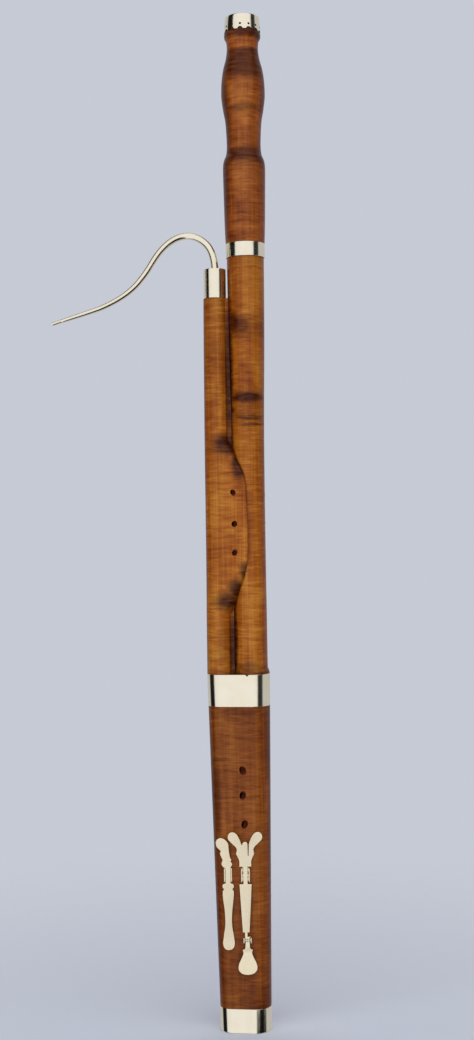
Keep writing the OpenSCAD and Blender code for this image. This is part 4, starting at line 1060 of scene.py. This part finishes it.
# Camera: level, in front, with a slight roll
DISTANCE, CAMERA_X, CAMERA_Z, ROLL = 1773.3, -2.8, 624.5, 0.0143
forward = Vector((0, 1, 0))
right = Vector((math.cos(ROLL), 0, -math.sin(ROLL)))
up = Vector((math.sin(ROLL), 0, math.cos(ROLL)))
cam_data = bpy.data.cameras.new("camera")
cam_data.lens, cam_data.sensor_width, cam_data.sensor_fit = 50.0, 36.0, "AUTO"
cam_data.clip_start, cam_data.clip_end = 0.05, 30.0
camera = bpy.data.objects.new("camera", cam_data)
bpy.context.scene.collection.objects.link(camera)
place = Vector((CAMERA_X, -DISTANCE, CAMERA_Z))
camera.matrix_world = Matrix.Translation(place * MM) @ Matrix((right, up, -forward)).transposed().to_4x4()
bpy.context.scene.camera = camera

# World: a plain backdrop for the eye; soft boxes and dark flags for light and reflections
BACKDROP = (0.563, 0.592, 0.661)
world = bpy.data.worlds.new("studio")
world.use_nodes = True
bpy.context.scene.world = world
sky = Tree(world.node_tree)
sky.tree.nodes.clear()


def by_angle(fac, stops):
    """Ramp of grey values by angle in degrees, negative on the left."""
    return sky.ramp(fac, [(0.5 + degrees / 360, (value, value, value * 1.04)) for degrees, value in stops])


coords = sky.make("ShaderNodeTexCoord")
split = sky.make("ShaderNodeSeparateXYZ")
sky.put(split.inputs[0], coords.outputs["Generated"])
x, y, z = split.outputs
# angle from the camera's side: 0 towards the camera, negative to its left, as a share of half a turn
angle = sky.math("DIVIDE", sky.math("ARCTAN2", x, sky.math("MULTIPLY", y, -1.0)), math.pi)
share = sky.math("ADD", sky.math("MULTIPLY", angle, 0.5), 0.5)
# the dark flag on the right leans: the higher, the further round it stands
FLAG_LEAN, LEAN_FROM = 0.127, 0.53
lean = sky.math("MULTIPLY", sky.math("GREATER_THAN", share, LEAN_FROM), FLAG_LEAN)
around = by_angle(sky.math("SUBTRACT", share, sky.math("MULTIPLY", z, lean)), [
    (-180, 0.56), (-112, 0.6), (-106, 0.01), (-66, 0.008), (-59, 0.93), (-20, 1.0), (20, 1.0), (37, 0.95),
    (43, 0.015), (72, 0.04), (78, 0.62), (180, 0.56)])
# low down on the right there is another dark flag, which only the foot reflects
LOW_EDGE, EDGE_SHARPNESS = -0.29, 66.7
low = sky.math("MULTIPLY", sky.math("SUBTRACT", LOW_EDGE, z), EDGE_SHARPNESS)
low = sky.math("MINIMUM", sky.math("MAXIMUM", low, 0.0), 1.0)
flag = sky.math("SUBTRACT", 1.0, by_angle(share, [(2, 1.0), (7, 0.05), (78, 0.05), (84, 1.0)]))
light = sky.make("ShaderNodeBackground")
sky.put(light.inputs["Color"], around)
sky.put(light.inputs["Strength"], sky.math("SUBTRACT", 1.0, sky.math("MULTIPLY", low, flag)))
back = sky.make("ShaderNodeBackground")
back.inputs["Color"].default_value = (*BACKDROP, 1)
path = sky.make("ShaderNodeLightPath")
mix = sky.make("ShaderNodeMixShader")
sky.put(mix.inputs[0], path.outputs["Is Camera Ray"])
sky.put(mix.inputs[1], light.outputs[0])
sky.put(mix.inputs[2], back.outputs[0])
out = sky.make("ShaderNodeOutputWorld")
sky.put(out.inputs["Surface"], mix.outputs[0])

bpy.context.scene.view_settings.view_transform = "Standard"
